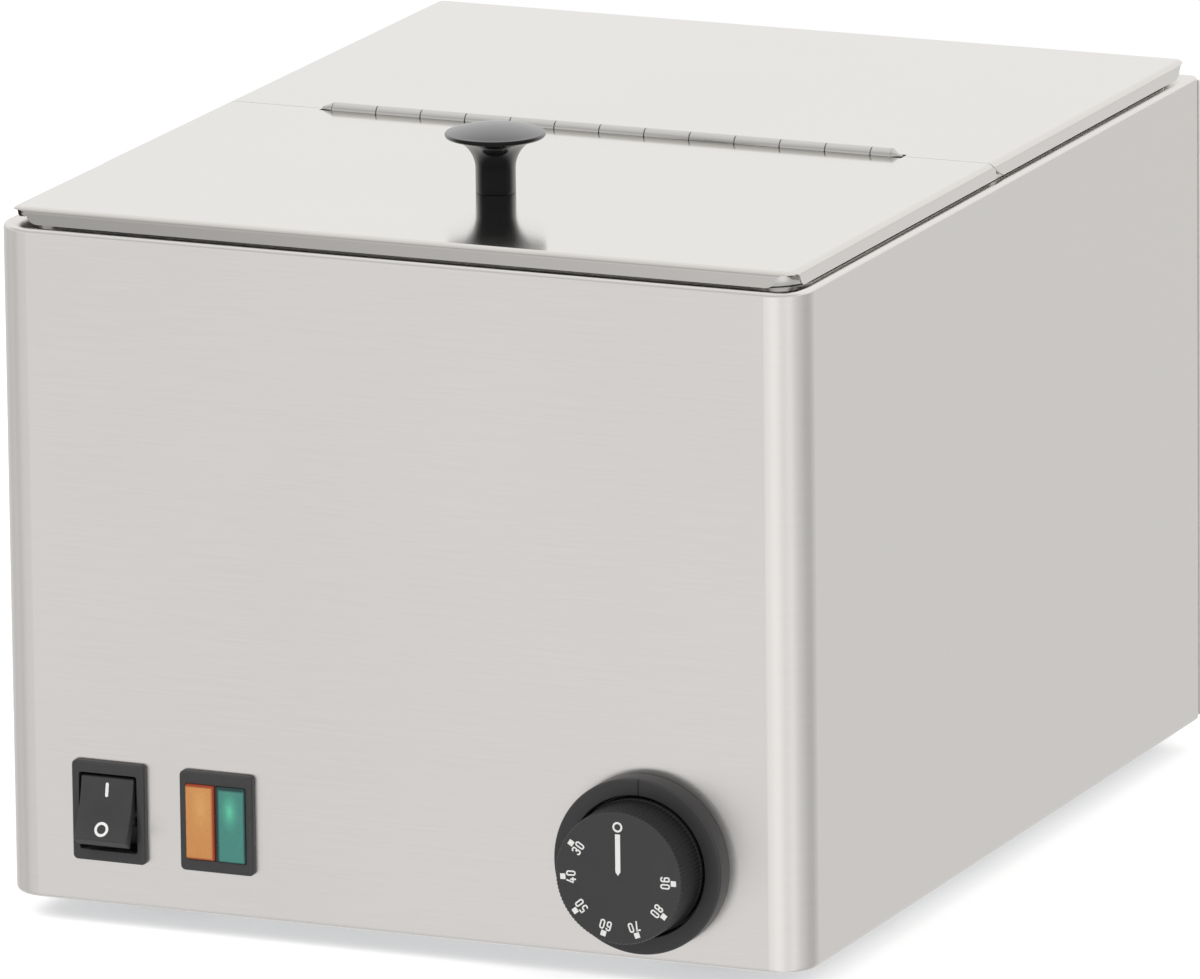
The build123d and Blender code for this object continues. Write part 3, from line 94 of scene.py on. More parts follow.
# each ring is a rounded rectangle on the front panel, a quarter circle in every corner:
# half width, half height, corner radius and height in front of the panel
def loftedRings(rings, centre, steps=8):
    size = np.array(rings, float)
    angle = np.concatenate([np.linspace(q, q + 1, steps + 1) for q in range(4)]) * math.pi / 2
    sideX = np.repeat([1, -1, -1, 1], steps + 1)
    sideZ = np.repeat([1, 1, -1, -1], steps + 1)
    halfWidth, halfHeight, corner, height = (size[:, k][:, None] for k in range(4))
    x = sideX * (halfWidth - corner) + corner * np.cos(angle)
    z = sideZ * (halfHeight - corner) + corner * np.sin(angle)
    ahead = (height + 0 * x)[..., None] * panelOut
    return centre + x[..., None] * panelRight + z[..., None] * panelUp + ahead


# a stroke's two edges stand half its width left and right of its path, mitred at the corners
def strokeGrid(path, halfWidth, low, high, closed=False):
    ahead = (np.roll(path, -1, axis=0) if closed else np.vstack([path[1:], 2 * path[-1] - path[-2]])) - path
    behind = path - (np.roll(path, 1, axis=0) if closed else np.vstack([2 * path[0] - path[1], path[:-1]]))
    sideA = np.stack([-ahead[:, 1], ahead[:, 0]], 1) / np.linalg.norm(ahead, axis=1)[:, None]
    sideB = np.stack([-behind[:, 1], behind[:, 0]], 1) / np.linalg.norm(behind, axis=1)[:, None]
    mitre = (sideA + sideB) / (1 + np.sum(sideA * sideB, 1))[:, None] * halfWidth
    left, right = path + mitre, path - mitre
    low, high = np.broadcast_to(low, len(path)), np.broadcast_to(high, len(path))
    return np.stack([np.column_stack([left, low]), np.column_stack([left, high]),
                     np.column_stack([right, high]), np.column_stack([right, low])], 1)


# a flat outline becomes a thin plate: the same loop at a low and at a high level
def plateGrid(outline, low, high):
    return np.stack([np.column_stack([outline, np.full(len(outline), v)]) for v in (low, high)])


# flat points with a height are set on a plane: across x right + along x up + height x out
def onPlane(grid, centre, right, up, out):
    return centre + grid[..., :1] * right + grid[..., 1:2] * up + grid[..., 2:3] * out


# even angles once round, without the last, which is the first again
def fullTurn(count):
    return np.linspace(0, 2 * math.pi, count, endpoint=False)


# circle: x + radius x cosine across, y + radius x sine along
def circlePath(x, y, radius, count=48):
    angles = fullTurn(count)
    return np.column_stack([x + radius * np.cos(angles), y + radius * np.sin(angles)])


# quarter circle round an edge: inset = radius x (1 - cosine), height = top - radius x (1 - sine)
def edgeArc(radius, top, steps=7):
    angles = np.linspace(0, math.pi / 2, steps)
    return radius * (1 - np.cos(angles)), top - radius + radius * np.sin(angles)


# quads between neighbouring rows and columns; columns always meet, rows meet or are capped
def gridFaces(rows, columns, wrapRows, start):
    index = np.arange(rows * columns).reshape(rows, columns) + start
    right = np.roll(index, -1, axis=1)
    lower = slice(None) if wrapRows else slice(0, rows - 1)
    upper = np.roll(index, -1, axis=0)[lower]
    upperRight = np.roll(right, -1, axis=0)[lower]
    quads = np.stack([index[lower], right[lower], upperRight, upper], -1).reshape(-1, 4).tolist()
    return quads if wrapRows else quads + [index[0].tolist(), index[-1].tolist()]


# one mesh from closed shells, given in millimetres; poles are merged and the faces turned outwards
def makePiece(name, shells, body, slotName, replaced=(), sharp=32, finish=None):
    points, faces, count = [], [], 0
    for grid, wrapRows in shells:
        rows, columns = grid.shape[:2]
        points.append(grid.reshape(-1, 3))
        faces += gridFaces(rows, columns, wrapRows, count)
        count += rows * columns
    mesh = bpy.data.meshes.new(name)
    mesh.from_pydata((np.vstack(points) * mm).tolist(), [], faces)
    work = bmesh.new()
    work.from_mesh(mesh)
    bmesh.ops.remove_doubles(work, verts=work.verts, dist=mergeReach)
    bmesh.ops.recalc_face_normals(work, faces=work.faces)
    work.to_mesh(mesh)
    work.free()
    mesh.polygons.foreach_set("use_smooth", np.ones(len(mesh.polygons), bool))
    mesh.set_sharp_from_angle(angle=math.radians(sharp))
    mesh.materials.append(finish or finishes[slotName])
    piece = bpy.data.objects.new(name, mesh)
    bpy.context.collection.objects.link(piece)
    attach(piece, body)
    if replaced:
        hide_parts(*replaced)
    return piece


# Finishes


# one shader node, with its own settings and its unlinked inputs
def addNode(tree, kind, settings=None, values=None):
    made = tree.nodes.new(kind)
    for key, value in (settings or {}).items():
        setattr(made, key, value)
    for key, value in (values or {}).items():
        made.inputs[key].default_value = value
    return made


# arithmetic on numbers
def mathNode(tree, operation, values=None):
    return addNode(tree, "ShaderNodeMath", {"operation": operation}, values)


# input 0 is the share of the second: inputs 2 and 3 are the two numbers, 6 and 7 the two colours
def mixNode(tree, kind, values=None):
    return addNode(tree, "ShaderNodeMix", {"data_type": kind}, values)


# cloudy noise: cells along a unit of its vector, how many finer layers, and their weight
def noiseNode(tree, scale, detail, roughness):
    return addNode(tree, "ShaderNodeTexNoise", None, {
        "Scale": scale, "Detail": detail, "Roughness": roughness})


# as the input goes from value 1 to value 2, the output goes smoothly from value 3 to value 4
def smoothStep(tree, values):
    return addNode(tree, "ShaderNodeMapRange", {"interpolation_type": "SMOOTHSTEP"}, values)


# links: each row is a node, its output, the next node and its input
def joinNodes(tree, *rows):
    for source, output, target, place in rows:
        tree.links.new(source.outputs[output], target.inputs[place])


# an empty node group with its sockets
def newGroup(name, inputs, outputs):
    group = bpy.data.node_groups.new(name, "ShaderNodeTree")
    for label, kind, value in inputs:
        socket = group.interface.new_socket(label, in_out="INPUT", socket_type="NodeSocket" + kind)
        if value is not None:
            socket.default_value = value
    for label, kind in outputs:
        group.interface.new_socket(label, in_out="OUTPUT", socket_type="NodeSocket" + kind)
    return group, group.nodes.new("NodeGroupInput"), group.nodes.new("NodeGroupOutput")


# roughness = Rough + Rough Spread x (mask - 0.5)
def spreadRoughness(group, given, source, mask, result):
    centred = mathNode(group, "SUBTRACT", {1: 0.5})
    rough = mathNode(group, "MULTIPLY_ADD")
    joinNodes(group, (source, mask, centred, 0), (centred, 0, rough, 0), (given, "Rough Spread", rough, 1),
              (given, "Rough", rough, 2), (rough, 0, result, "Rough"))


# rolled sheet: long thin streaks, finer hairlines among them and a slow drift of the tone
def buildSheetGrain():
    group, given, result = newGroup("sheetGrain", [
        ("Vector", "Vector", None), ("Place", "Vector", None),
        ("Light", "Color", (0.8, 0.8, 0.8, 1)), ("Dark", "Color", (0.6, 0.6, 0.6, 1)),
        ("Rough", "Float", 0.3), ("Rough Spread", "Float", 0.05),
        ("Drift", "Float", 0.3)],
        [("Height", "Float"), ("Rough", "Float"), ("Colour", "Color")])
    streak = noiseNode(group, 1.0, 3.0, 0.65)
    hair = noiseNode(group, 2.7, 1.0, 0.5)
    drift = noiseNode(group, 9.0, 2.0, 0.5)
    blend = mixNode(group, "FLOAT", {0: 0.4})
    tone = mixNode(group, "FLOAT")
    colour = mixNode(group, "RGBA")
    joinNodes(group, (given, "Vector", streak, "Vector"), (given, "Vector", hair, "Vector"),
              (given, "Place", drift, "Vector"), (streak, "Fac", blend, 2), (hair, "Fac", blend, 3),
              (given, "Drift", tone, 0), (blend, 0, tone, 2), (drift, "Fac", tone, 3), (tone, 0, colour, 0),
              (given, "Dark", colour, 6), (given, "Light", colour, 7))
    spreadRoughness(group, given, tone, 0, result)
    joinNodes(group, (blend, 0, result, "Height"), (colour, 2, result, "Colour"))
    return group


# moulded skin: a fine spark-eroded pebble with faint flow marks, and dust that settles in patches
def buildMouldedSkin():
    group, given, result = newGroup("mouldedSkin", [
        ("Place", "Vector", None), ("Pebble", "Float", 2500.0),
        ("Colour", "Color", (0.03, 0.03, 0.03, 1)),
        ("Dusty", "Color", (0.06, 0.06, 0.06, 1)),
        ("Dust", "Float", 0.3), ("Rough", "Float", 0.4),
        ("Rough Spread", "Float", 0.1)],
        [("Height", "Float"), ("Rough", "Float"), ("Colour", "Color")])
    pebble = noiseNode(group, 1.0, 2.0, 0.55)  # its scale is linked below
    patch = noiseNode(group, 110.0, 4.0, 0.6)
    speck = noiseNode(group, 1900.0, 1.0, 0.5)
    fleck = addNode(group, "ShaderNodeMapRange", None, {1: 0.62, 2: 0.78, 3: 0.0, 4: 1.0})
    cover = mathNode(group, "MAXIMUM")
    amount = mathNode(group, "MULTIPLY")
    colour = mixNode(group, "RGBA")
    for texture in (pebble, patch, speck):
        joinNodes(group, (given, "Place", texture, "Vector"))
    joinNodes(group, (given, "Pebble", pebble, "Scale"), (speck, "Fac", fleck, 0), (fleck, 0, cover, 0),
              (patch, "Fac", cover, 1), (cover, 0, amount, 0), (given, "Dust", amount, 1),
              (amount, 0, colour, 0), (given, "Colour", colour, 6), (given, "Dusty", colour, 7))
    spreadRoughness(group, given, patch, "Fac", result)
    joinNodes(group, (pebble, "Fac", result, "Height"), (colour, 2, result, "Colour"))
    return group


# lamp lens masks: Rim for a painted shade, 0 in the middle to 1 at the rim, by the smaller distance to an
# edge, and Glow, the soft round spot of a painted glow
def buildLensShadeAndGlow():
    group, given, result = newGroup("lensShadeAndGlow", [
        ("Across", "Vector", None), ("Spot", "Vector", None),
        ("Half Width", "Float", 5.05), ("Half Height", "Float", 12.3)],
        [("Rim", "Float"), ("Glow", "Float")])
    split = addNode(group, "ShaderNodeSeparateXYZ")
    sideX = mathNode(group, "ABSOLUTE")
    sideZ = mathNode(group, "ABSOLUTE")
    gapX = mathNode(group, "SUBTRACT")
    gapZ = mathNode(group, "SUBTRACT")
    near = mathNode(group, "MINIMUM")
    rim = smoothStep(group, {1: 0.25, 2: 1.15, 3: 1.0, 4: 0.0})
    glow = addNode(group, "ShaderNodeTexGradient", {"gradient_type": "QUADRATIC_SPHERE"})
    joinNodes(group, (given, "Across", split, 0), (split, "X", sideX, 0), (split, "Z", sideZ, 0),
              (given, "Half Width", gapX, 0), (given, "Half Height", gapZ, 0), (sideX, 0, gapX, 1),
              (sideZ, 0, gapZ, 1), (gapX, 0, near, 0), (gapZ, 0, near, 1), (near, 0, rim, 0),
              (given, "Spot", glow, 0), (rim, 0, result, "Rim"), (glow, "Fac", result, "Glow"))
    return group


sheetGrain = buildSheetGrain()
mouldedSkin = buildMouldedSkin()
lensShadeAndGlow = buildLensShadeAndGlow()


# a new finish with its shader and its coordinates
def startFinish(name):
    finish = bpy.data.materials.new(name)
    finish.use_nodes = True
    tree = finish.node_tree
    return finish, tree, tree.nodes["Principled BSDF"], tree.nodes.new("ShaderNodeTexCoord")


# a smooth step along one axis of the place: first at start, last at start - width, in millimetres
def fadeAlong(tree, split, axis, start, width, first=0.0, last=1.0):
    fade = smoothStep(tree, {1: start * mm, 2: (start - width) * mm, 3: first, 4: last})
    joinNodes(tree, (split, axis, fade, 0))
    return fade


# base colour = the group's colour x share
def scaleColour(tree, coloured, share, shader):
    scaled = addNode(tree, "ShaderNodeVectorMath", {"operation": "SCALE"})
    joinNodes(tree, (coloured, "Colour", scaled, 0), (share, 0, scaled, "Scale"),
              (scaled, 0, shader, "Base Color"))


# metal sheet and bar: the streaks run along the smallest scales of look["stretch"]
def metalFinish(name, look):
    finish, tree, shader, place = startFinish(name)
    stretch = addNode(tree, "ShaderNodeMapping", None, {"Scale": look["stretch"]})
    grain = addNode(tree, "ShaderNodeGroup", {"node_tree": sheetGrain}, {
        "Light": (*look["light"], 1), "Dark": (*look["dark"], 1), "Rough": look["rough"],
        "Rough Spread": look["roughSpread"], "Drift": look["drift"]})
    bump = addNode(tree, "ShaderNodeBump", None, {"Strength": look["depth"], "Distance": 0.00006})
    rounded = addNode(tree, "ShaderNodeBevel", {"samples": 6}, {"Radius": edgeRadius * mm})
    shader.inputs["Metallic"].default_value = 1.0
    if "brushed" in look:
        grainLine = addNode(tree, "ShaderNodeTangent", {
            "direction_type": "RADIAL", "axis": look["brushedAxis"]})
        shader.inputs["Anisotropic"].default_value = look["brushed"]
        joinNodes(tree, (grainLine, "Tangent", shader, "Tangent"))
    joinNodes(tree, (rounded, "Normal", bump, "Normal"), (place, "Object", stretch, "Vector"),
              (stretch, "Vector", grain, "Vector"), (place, "Object", grain, "Place"),
              (grain, "Height", bump, "Height"), (bump, "Normal", shader, "Normal"),
              (grain, "Rough", shader, "Roughness"), (grain, "Colour", shader, "Base Color"))
    if "flangeTop" in look:  # painted shade: the front flange's colour is darkened, by a share that changes from left to right, in place of the darker reflection it shows
        split = tree.nodes.new("ShaderNodeSeparateXYZ")
        low = fadeAlong(tree, split, "Z", look["flangeTop"], look["flangeFades"][0])
        ahead = fadeAlong(tree, split, "Y", look["flangeFront"], look["flangeFades"][1])
        flangeShadeMask = mathNode(tree, "MINIMUM")
        (leftEnd, rightEnd), (leftShade, rightShade) = look["flangeEnds"], look["flangeShadeShares"]
        across = addNode(tree, "ShaderNodeMapRange", None, {
            1: leftEnd * mm, 2: rightEnd * mm, 3: leftShade, 4: rightShade})
        share = mixNode(tree, "FLOAT", {2: 1.0})
        joinNodes(tree, (place, "Object", split, 0), (split, "X", across, 0), (low, 0, flangeShadeMask, 0),
                  (ahead, 0, flangeShadeMask, 1), (flangeShadeMask, 0, share, 0), (across, 0, share, 3))
        scaleColour(tree, grain, share, shader)
    return finish


# moulded or cast pieces: plastic, rubber and ink
def mouldedFinish(name, look):
    finish, tree, shader, place = startFinish(name)
    skin = addNode(tree, "ShaderNodeGroup", {"node_tree": mouldedSkin}, {
        "Pebble": look["pebble"], "Colour": (*look["colour"], 1), "Dusty": (*look["dusty"], 1),
        "Dust": look["dust"], "Rough": look["rough"], "Rough Spread": look["roughSpread"]})
    bump = addNode(tree, "ShaderNodeBump", None, {"Strength": look["depth"], "Distance": 0.00004})
    shader.inputs["Specular IOR Level"].default_value = look["gloss"]
    if "grazing" in look:  # more gloss where the surface turns away from the eye
        facing = addNode(tree, "ShaderNodeLayerWeight", None, {"Blend": 0.5})
        lift = smoothStep(tree, {1: 0.25, 2: 0.8, 3: look["gloss"], 4: look["grazing"]})
        joinNodes(tree, (facing, "Facing", lift, 0), (lift, 0, shader, "Specular IOR Level"))
    joinNodes(tree, (place, "Object", skin, "Place"), (skin, "Height", bump, "Height"),
              (bump, "Normal", shader, "Normal"), (skin, "Rough", shader, "Roughness"),
              (skin, "Colour", shader, "Base Color"))
    if "shade" in look:  # painted shade: the colour is darkened between two distances in front of the panel, over the knob's ribbed side
        split = tree.nodes.new("ShaderNodeSeparateXYZ")
        start, end = panel["face"] - look["shadeFrom"], panel["face"] - look["shadeTo"]
        rise = fadeAlong(tree, split, "Y", start, look["shadeFades"][0], 1.0, look["shade"])
        fall = fadeAlong(tree, split, "Y", end, look["shadeFades"][1])
        share = mathNode(tree, "MAXIMUM")
        joinNodes(tree, (place, "Object", split, 0), (rise, 0, share, 0), (fall, 0, share, 1))
        scaleColour(tree, skin, share, shader)
    return finish


# lamp lens: painted shade darkens the colour at the rim, a painted glow lightens it in a soft spot over the
# bulb behind, and the lens gives off a faint painted glow of its own colour
def lensFinish(name, look):
    finish, tree, shader, place = startFinish(name)
    middle = (look["x"] * mm, (panel["face"] - panel["lensAhead"]) * mm, panel["controlHeight"] * mm)
    faceMiddle = (middle[0] + look["faceX"] * mm, middle[1], middle[2] + look["faceZ"] * mm)
    spotMiddle = (middle[0] + look["spotX"] * mm, middle[1], middle[2] + look["spotZ"] * mm)
    spotHalf = (look["spotWide"] * mm, 1.0, look["spotTall"] * mm)
    across = addNode(tree, "ShaderNodeMapping", None, {
        "Location": [-m / mm for m in faceMiddle], "Scale": [1 / mm] * 3})
    spot = addNode(tree, "ShaderNodeMapping", None, {
        "Location": [-m / h for m, h in zip(spotMiddle, spotHalf)], "Scale": [1 / h for h in spotHalf]})
    body = addNode(tree, "ShaderNodeGroup", {"node_tree": lensShadeAndGlow}, {"Half Width": look["faceHalf"]})
    cloud = noiseNode(tree, 420.0, 3.0, 0.6)
    haze = addNode(tree, "ShaderNodeMapRange", None, {1: 0.3, 2: 0.7, 3: 0.2, 4: 0.38})
    glowLit = mixNode(tree, "RGBA", {6: (*look["colour"], 1), 7: (*look["lit"], 1)})
    rimShaded = mixNode(tree, "RGBA", {7: (*look["rim"], 1)})
    shader.inputs["Emission Strength"].default_value = look["glowStrength"]
    shader.inputs["Specular IOR Level"].default_value = 0.4
    joinNodes(tree, (place, "Object", across, "Vector"), (place, "Object", spot, "Vector"),
              (place, "Object", cloud, "Vector"), (across, "Vector", body, "Across"),
              (spot, "Vector", body, "Spot"), (cloud, "Fac", haze, 0), (haze, 0, shader, "Roughness"),
              (body, "Glow", glowLit, 0), (body, "Rim", rimShaded, 0), (glowLit, 2, rimShaded, 6),
              (rimShaded, 2, shader, "Base Color"), (rimShaded, 2, shader, "Emission Color"))
    return finish


# colours are linear; "stretch" is small along the grain and large across it
casingSheet = {"light": (0.875, 0.847, 0.823), "dark": (0.745, 0.72, 0.698), "rough": 0.25,
               "roughSpread": 0.08, "stretch": (24, 24, 1500), "depth": 0.08, "drift": 0.35,
               "brushed": 0.82, "brushedAxis": "Z"}
lidSheet = {"light": (0.755, 0.731, 0.702), "dark": (0.697, 0.674, 0.646), "rough": 0.12,
            "roughSpread": 0.05, "stretch": (40, 2600, 2600), "depth": 0.03, "drift": 0.5,
            # the flange keys below paint shade on the lid's front flange, darker at its left end than at its
            # right
            "flangeTop": 232.6, "flangeFront": -164.0, "flangeFades": (2.2, 3.0),
            "flangeEnds": (-132.0, 136.0), "flangeShadeShares": (0.60, 0.92)}
panSheet = {"light": (0.76, 0.755, 0.74), "dark": (0.66, 0.655, 0.64), "rough": 0.20, "roughSpread": 0.08,
            "stretch": (30, 1800, 60), "depth": 0.06, "drift": 0.6}
wellSheet = {"light": (0.66, 0.655, 0.64), "dark": (0.54, 0.535, 0.52), "rough": 0.34, "roughSpread": 0.10,
             "stretch": (1500, 30, 40), "depth": 0.10, "drift": 0.5}
hingeBar = {"light": (0.72, 0.71, 0.69), "dark": (0.48, 0.47, 0.45), "rough": 0.24, "roughSpread": 0.12,
            "stretch": (60, 2600, 2600), "depth": 0.10, "drift": 0.45}
zincPlate = {"light": (0.62, 0.64, 0.66), "dark": (0.47, 0.48, 0.49), "rough": 0.36, "roughSpread": 0.14,
             "stretch": (260, 260, 260), "depth": 0.12, "drift": 0.6}
heaterTube = {"light": (0.40, 0.36, 0.32), "dark": (0.22, 0.20, 0.20), "rough": 0.42, "roughSpread": 0.15,
              "stretch": (300, 300, 300), "depth": 0.12, "drift": 0.7}
tinnedBrass = {"light": (0.80, 0.62, 0.32), "dark": (0.60, 0.44, 0.20), "rough": 0.28, "roughSpread": 0.12,
               "stretch": (500, 500, 90), "depth": 0.08, "drift": 0.5}
copperTube = {"light": (0.78, 0.42, 0.26), "dark": (0.52, 0.26, 0.16), "rough": 0.30, "roughSpread": 0.12,
              "stretch": (220, 220, 220), "depth": 0.06, "drift": 0.7}
glossMoulding = {"colour": (0.006, 0.006, 0.007), "dusty": (0.04, 0.04, 0.04), "dust": 0.06, "rough": 0.13,
                 "roughSpread": 0.08, "pebble": 900.0, "depth": 0.02, "gloss": 0.14, "grazing": 3.2}
dialMoulding = {"colour": (0.026, 0.025, 0.026), "dusty": (0.06, 0.058, 0.056), "dust": 0.20, "rough": 0.42,
                "roughSpread": 0.12, "pebble": 3200.0, "depth": 0.20, "gloss": 0.5,
                # the shade keys paint shade on the knob's ribbed side, between shadeFrom and shadeTo in front
                # of the panel
                "shadeFrom": 7.3, "shadeTo": 21.2, "shadeFades": (0.6, 0.5), "shade": 0.25}
satinMoulding = {"colour": (0.026, 0.025, 0.026), "dusty": (0.09, 0.086, 0.082), "dust": 0.24, "rough": 0.40,
                 "roughSpread": 0.14, "pebble": 3000.0, "depth": 0.25, "gloss": 0.5}
matteMoulding = {"colour": (0.035, 0.035, 0.035), "dusty": (0.09, 0.088, 0.085), "dust": 0.25, "rough": 0.6,
                 "roughSpread": 0.15, "pebble": 1800.0, "depth": 0.3, "gloss": 0.4}
footRubber = {"colour": (0.022, 0.022, 0.022), "dusty": (0.12, 0.115, 0.11), "dust": 0.35, "rough": 0.75,
              "roughSpread": 0.15, "pebble": 1300.0, "depth": 0.35, "gloss": 0.3}
blockMoulding = {"colour": (0.66, 0.62, 0.52), "dusty": (0.50, 0.46, 0.38), "dust": 0.4, "rough": 0.5,
                 "roughSpread": 0.12, "pebble": 1500.0, "depth": 0.15, "gloss": 0.45}
wireCover = {"colour": (0.52, 0.49, 0.45), "dusty": (0.38, 0.35, 0.31), "dust": 0.5, "rough": 0.62,
             "roughSpread": 0.15, "pebble": 2600.0, "depth": 0.4, "gloss": 0.35}
bulbGlass = {"colour": (0.80, 0.72, 0.58), "dusty": (0.58, 0.50, 0.38), "dust": 0.3, "rough": 0.12,
             "roughSpread": 0.06, "pebble": 600.0, "depth": 0.02, "gloss": 0.6}
whiteInk = {"colour": (0.80, 0.80, 0.78), "dusty": (0.60, 0.60, 0.58), "dust": 0.35, "rough": 0.5,
            "roughSpread": 0.12, "pebble": 2400.0, "depth": 0.1, "gloss": 0.4}
# each lens look: the lens colour, the lighter lit colour of the painted glow spot, the darker rim colour of
# the painted shade, the strength of the painted glow it gives off, and where its face and glow spot sit
amberLook = {"x": -67.6, "colour": (0.52, 0.225, 0.068), "lit": (0.60, 0.31, 0.10),
             "rim": (0.26, 0.035, 0.008), "glowStrength": 0.10, "faceX": -0.5, "faceZ": -0.1, "faceHalf": 5.4,
             "spotX": 0.5, "spotZ": 5.0, "spotWide": 6.0, "spotTall": 13.0}
greenLook = {"x": -57.0, "colour": (0.045, 0.185, 0.155), "lit": (0.095, 0.46, 0.29),
             "rim": (0.010, 0.035, 0.034), "glowStrength": 0.22, "faceX": 0.3, "faceZ": -0.4, "faceHalf": 5.0,
             "spotX": -0.1, "spotZ": 4.6, "spotWide": 4.0, "spotTall": 8.5}

finishes = {
    "casing_steel": metalFinish("casingSteel", casingSheet),
    "lid_steel": metalFinish("lidSteel", lidSheet),
    "pan_steel": metalFinish("panSteel", panSheet),
    "well_steel": metalFinish("wellSteel", wellSheet),
    "hinge_steel": metalFinish("hingeSteel", hingeBar),
    "zinc_steel": metalFinish("zincSteel", zincPlate),
    "heater_steel": metalFinish("heaterSteel", heaterTube),
    "brass": metalFinish("tinnedBrassFinish", tinnedBrass),
    "copper_tube": metalFinish("copperTubeFinish", copperTube),
    "black_gloss": mouldedFinish("knobGloss", glossMoulding),
    "black_satin": mouldedFinish("switchSatin", satinMoulding),
    "black_matte": mouldedFinish("glandMatte", matteMoulding),
    "rubber": mouldedFinish("footRubberFinish", footRubber),
    "block_plastic": mouldedFinish("blockPlastic", blockMoulding),
    "wire_plastic": mouldedFinish("wirePlastic", wireCover),
    "bulb_glass": mouldedFinish("bulbGlassFinish", bulbGlass),
    "amber_glass": lensFinish("amberLensFinish", amberLook),
    "green_glass": lensFinish("greenLensFinish", greenLook),
}
dialFinish = mouldedFinish("dialMouldingFinish", dialMoulding)
inkFinish = mouldedFinish("whiteInkFinish", whiteInk)

for nodeName, cadPiece in nodes.items():
    finish = finishes[slotOf[nodeName]]
    cadPiece.data.materials.clear()
    cadPiece.data.materials.append(finish)
print("finishes built for", len(finishes), "slots, the dial and the ink")

# Rocker switch

switchCentre = np.array([panel["switchX"], panel["face"], panel["controlHeight"]])
bezel = {"halfWidth": 12.7, "halfHeight": 16.3, "corner": 1.6, "proud": 2.4, "edge": 1.0,
         "cornerShrink": 0.55, "foot": 0.2, "footInset": 0.15, "bodyCorner": 0.3}
switchShell = {"bodyHalfWidth": 10.9, "bodyHalfHeight": 14.9, "depth": 20.0, "mouthHalfWidth": 10.0,
               "mouthHalfHeight": 12.55, "mouthCorner": 0.8, "lip": 0.3, "pocket": 9.0}


# rings from the back of the body to the bezel's rounded front edge
def bezelRings(shell):
    halfWidth, halfHeight, corner = bezel["halfWidth"], bezel["halfHeight"], bezel["corner"]
    body = [(shell["bodyHalfWidth"], shell["bodyHalfHeight"], bezel["bodyCorner"], height)
            for height in (-shell["depth"], 0)]
    foot = [(halfWidth - bezel["footInset"], halfHeight - bezel["footInset"], corner, 0),
            (halfWidth, halfHeight, corner, bezel["foot"])]
    inset, height = edgeArc(bezel["edge"], bezel["proud"])
    shrunk = corner - bezel["cornerShrink"] * inset
    return np.vstack([body, foot, np.column_stack([halfWidth - inset, halfHeight - inset, shrunk, height])])


# rings from the rounded lip of the mouth to the floor of its pocket
def mouthRings(shell):
    halfWidth, halfHeight, corner = shell["mouthHalfWidth"], shell["mouthHalfHeight"], shell["mouthCorner"]
    inset, height = (values[::-1] for values in edgeArc(shell["lip"], bezel["proud"], 5))
    rounded = np.column_stack([halfWidth + inset, halfHeight + inset, corner + inset, height])
    return np.vstack([rounded, [(halfWidth, halfHeight, corner, -shell["pocket"])]])


# a housing is one surface: from its back over its sides and bezel, and down into its mouth
def housingGrid(shell, centre):
    return loftedRings(np.vstack([bezelRings(shell), mouthRings(shell)]), centre)


makePiece("switchHousing", [(housingGrid(switchShell, switchCentre), False)], "cabinet", "black_satin",
          ["switch_housing"])

rocker = {"halfLength": 10.0, "faceHeight": 6.1, "dip": 1.1, "skirt": 2.0, "stemHalf": 4.0, "stemDepth": 6.0,
          "halfWidth": 9.1, "tilt": 19.0, "trunnionRadius": 1.5, "trunnionHalf": 10.65, "softEdge": 0.35,
          "softSteps": 3, "softAngle": 40}
tilt = math.radians(rocker["tilt"])
rockerOut = np.array([0.0, -math.cos(tilt), math.sin(tilt)])
rockerUp = np.array([0.0, math.sin(tilt), math.cos(tilt)])


# height of the dished face: a circle through both ends and the lowest point in the middle
def faceHeight(along):
    half, dip = rocker["halfLength"], rocker["dip"]
    radius = (half ** 2 + dip ** 2) / (2 * dip)
    return rocker["faceHeight"] - dip + radius - np.sqrt(radius ** 2 - along ** 2)


# section of the rocker: dished face, skirts on a circle about the axis, flat underside and stem
def rockerSection():
    length, level = rocker["halfLength"], rocker["skirt"]
    half, depth = rocker["stemHalf"], rocker["stemDepth"]
    along = np.linspace(-length, length, 25)
    face = np.column_stack([along, faceHeight(along)])
    reach = math.hypot(length, rocker["faceHeight"])
    angles = np.linspace(math.atan2(length, rocker["faceHeight"]), math.acos(level / reach), 7)[1:]
    skirt = np.column_stack([reach * np.sin(angles), reach * np.cos(angles)])
    stem = [(half, level), (half, -depth), (-half, -depth), (-half, level)]
    return np.vstack([face, skirt, stem, (skirt * [-1, 1])[::-1]])


section = rockerSection()
ends = np.array([-rocker["halfWidth"], rocker["halfWidth"]])
rockerGrid = (switchCentre + ends[:, None, None] * panelRight + section[None, :, :1] * rockerUp
              + section[None, :, 1:] * rockerOut)
radius, reach = rocker["trunnionRadius"], rocker["trunnionHalf"]
trunnionProfile = np.array([(0, -reach), (radius, -reach), (radius, reach), (0, reach)])
trunnionGrid = turnedGrid(trunnionProfile, switchCentre, panelOut, panelUp, panelRight, fullTurn(32))
switchRocker = makePiece("switchRocker", [(rockerGrid, False), (trunnionGrid, False)], "rocker",
                         "black_satin", ["switch_rocker"])
softened = switchRocker.modifiers.new("softEdges", "BEVEL")
softened.width = rocker["softEdge"] * mm
softened.segments = rocker["softSteps"]
softened.limit_method = "ANGLE"
softened.angle_limit = math.radians(rocker["softAngle"])

marks = {"barWide": 1.05, "barLong": 4.6, "barInset": 1.4, "ringOuter": 2.4, "ringStroke": 0.9,
         "ringInset": 1.2, "ringX": -0.15, "barX": 0.15, "sunk": 0.1, "proud": 0.03}


# bar with half round ends, across and along the rocker's face
def barOutline(halfWide, low, high):
    angles = np.linspace(0, math.pi, 9)
    upper = np.column_stack([halfWide * np.cos(angles), high - halfWide + halfWide * np.sin(angles)])
    lower = np.column_stack([-halfWide * np.cos(angles), low + halfWide - halfWide * np.sin(angles)])
    return np.vstack([upper, lower])


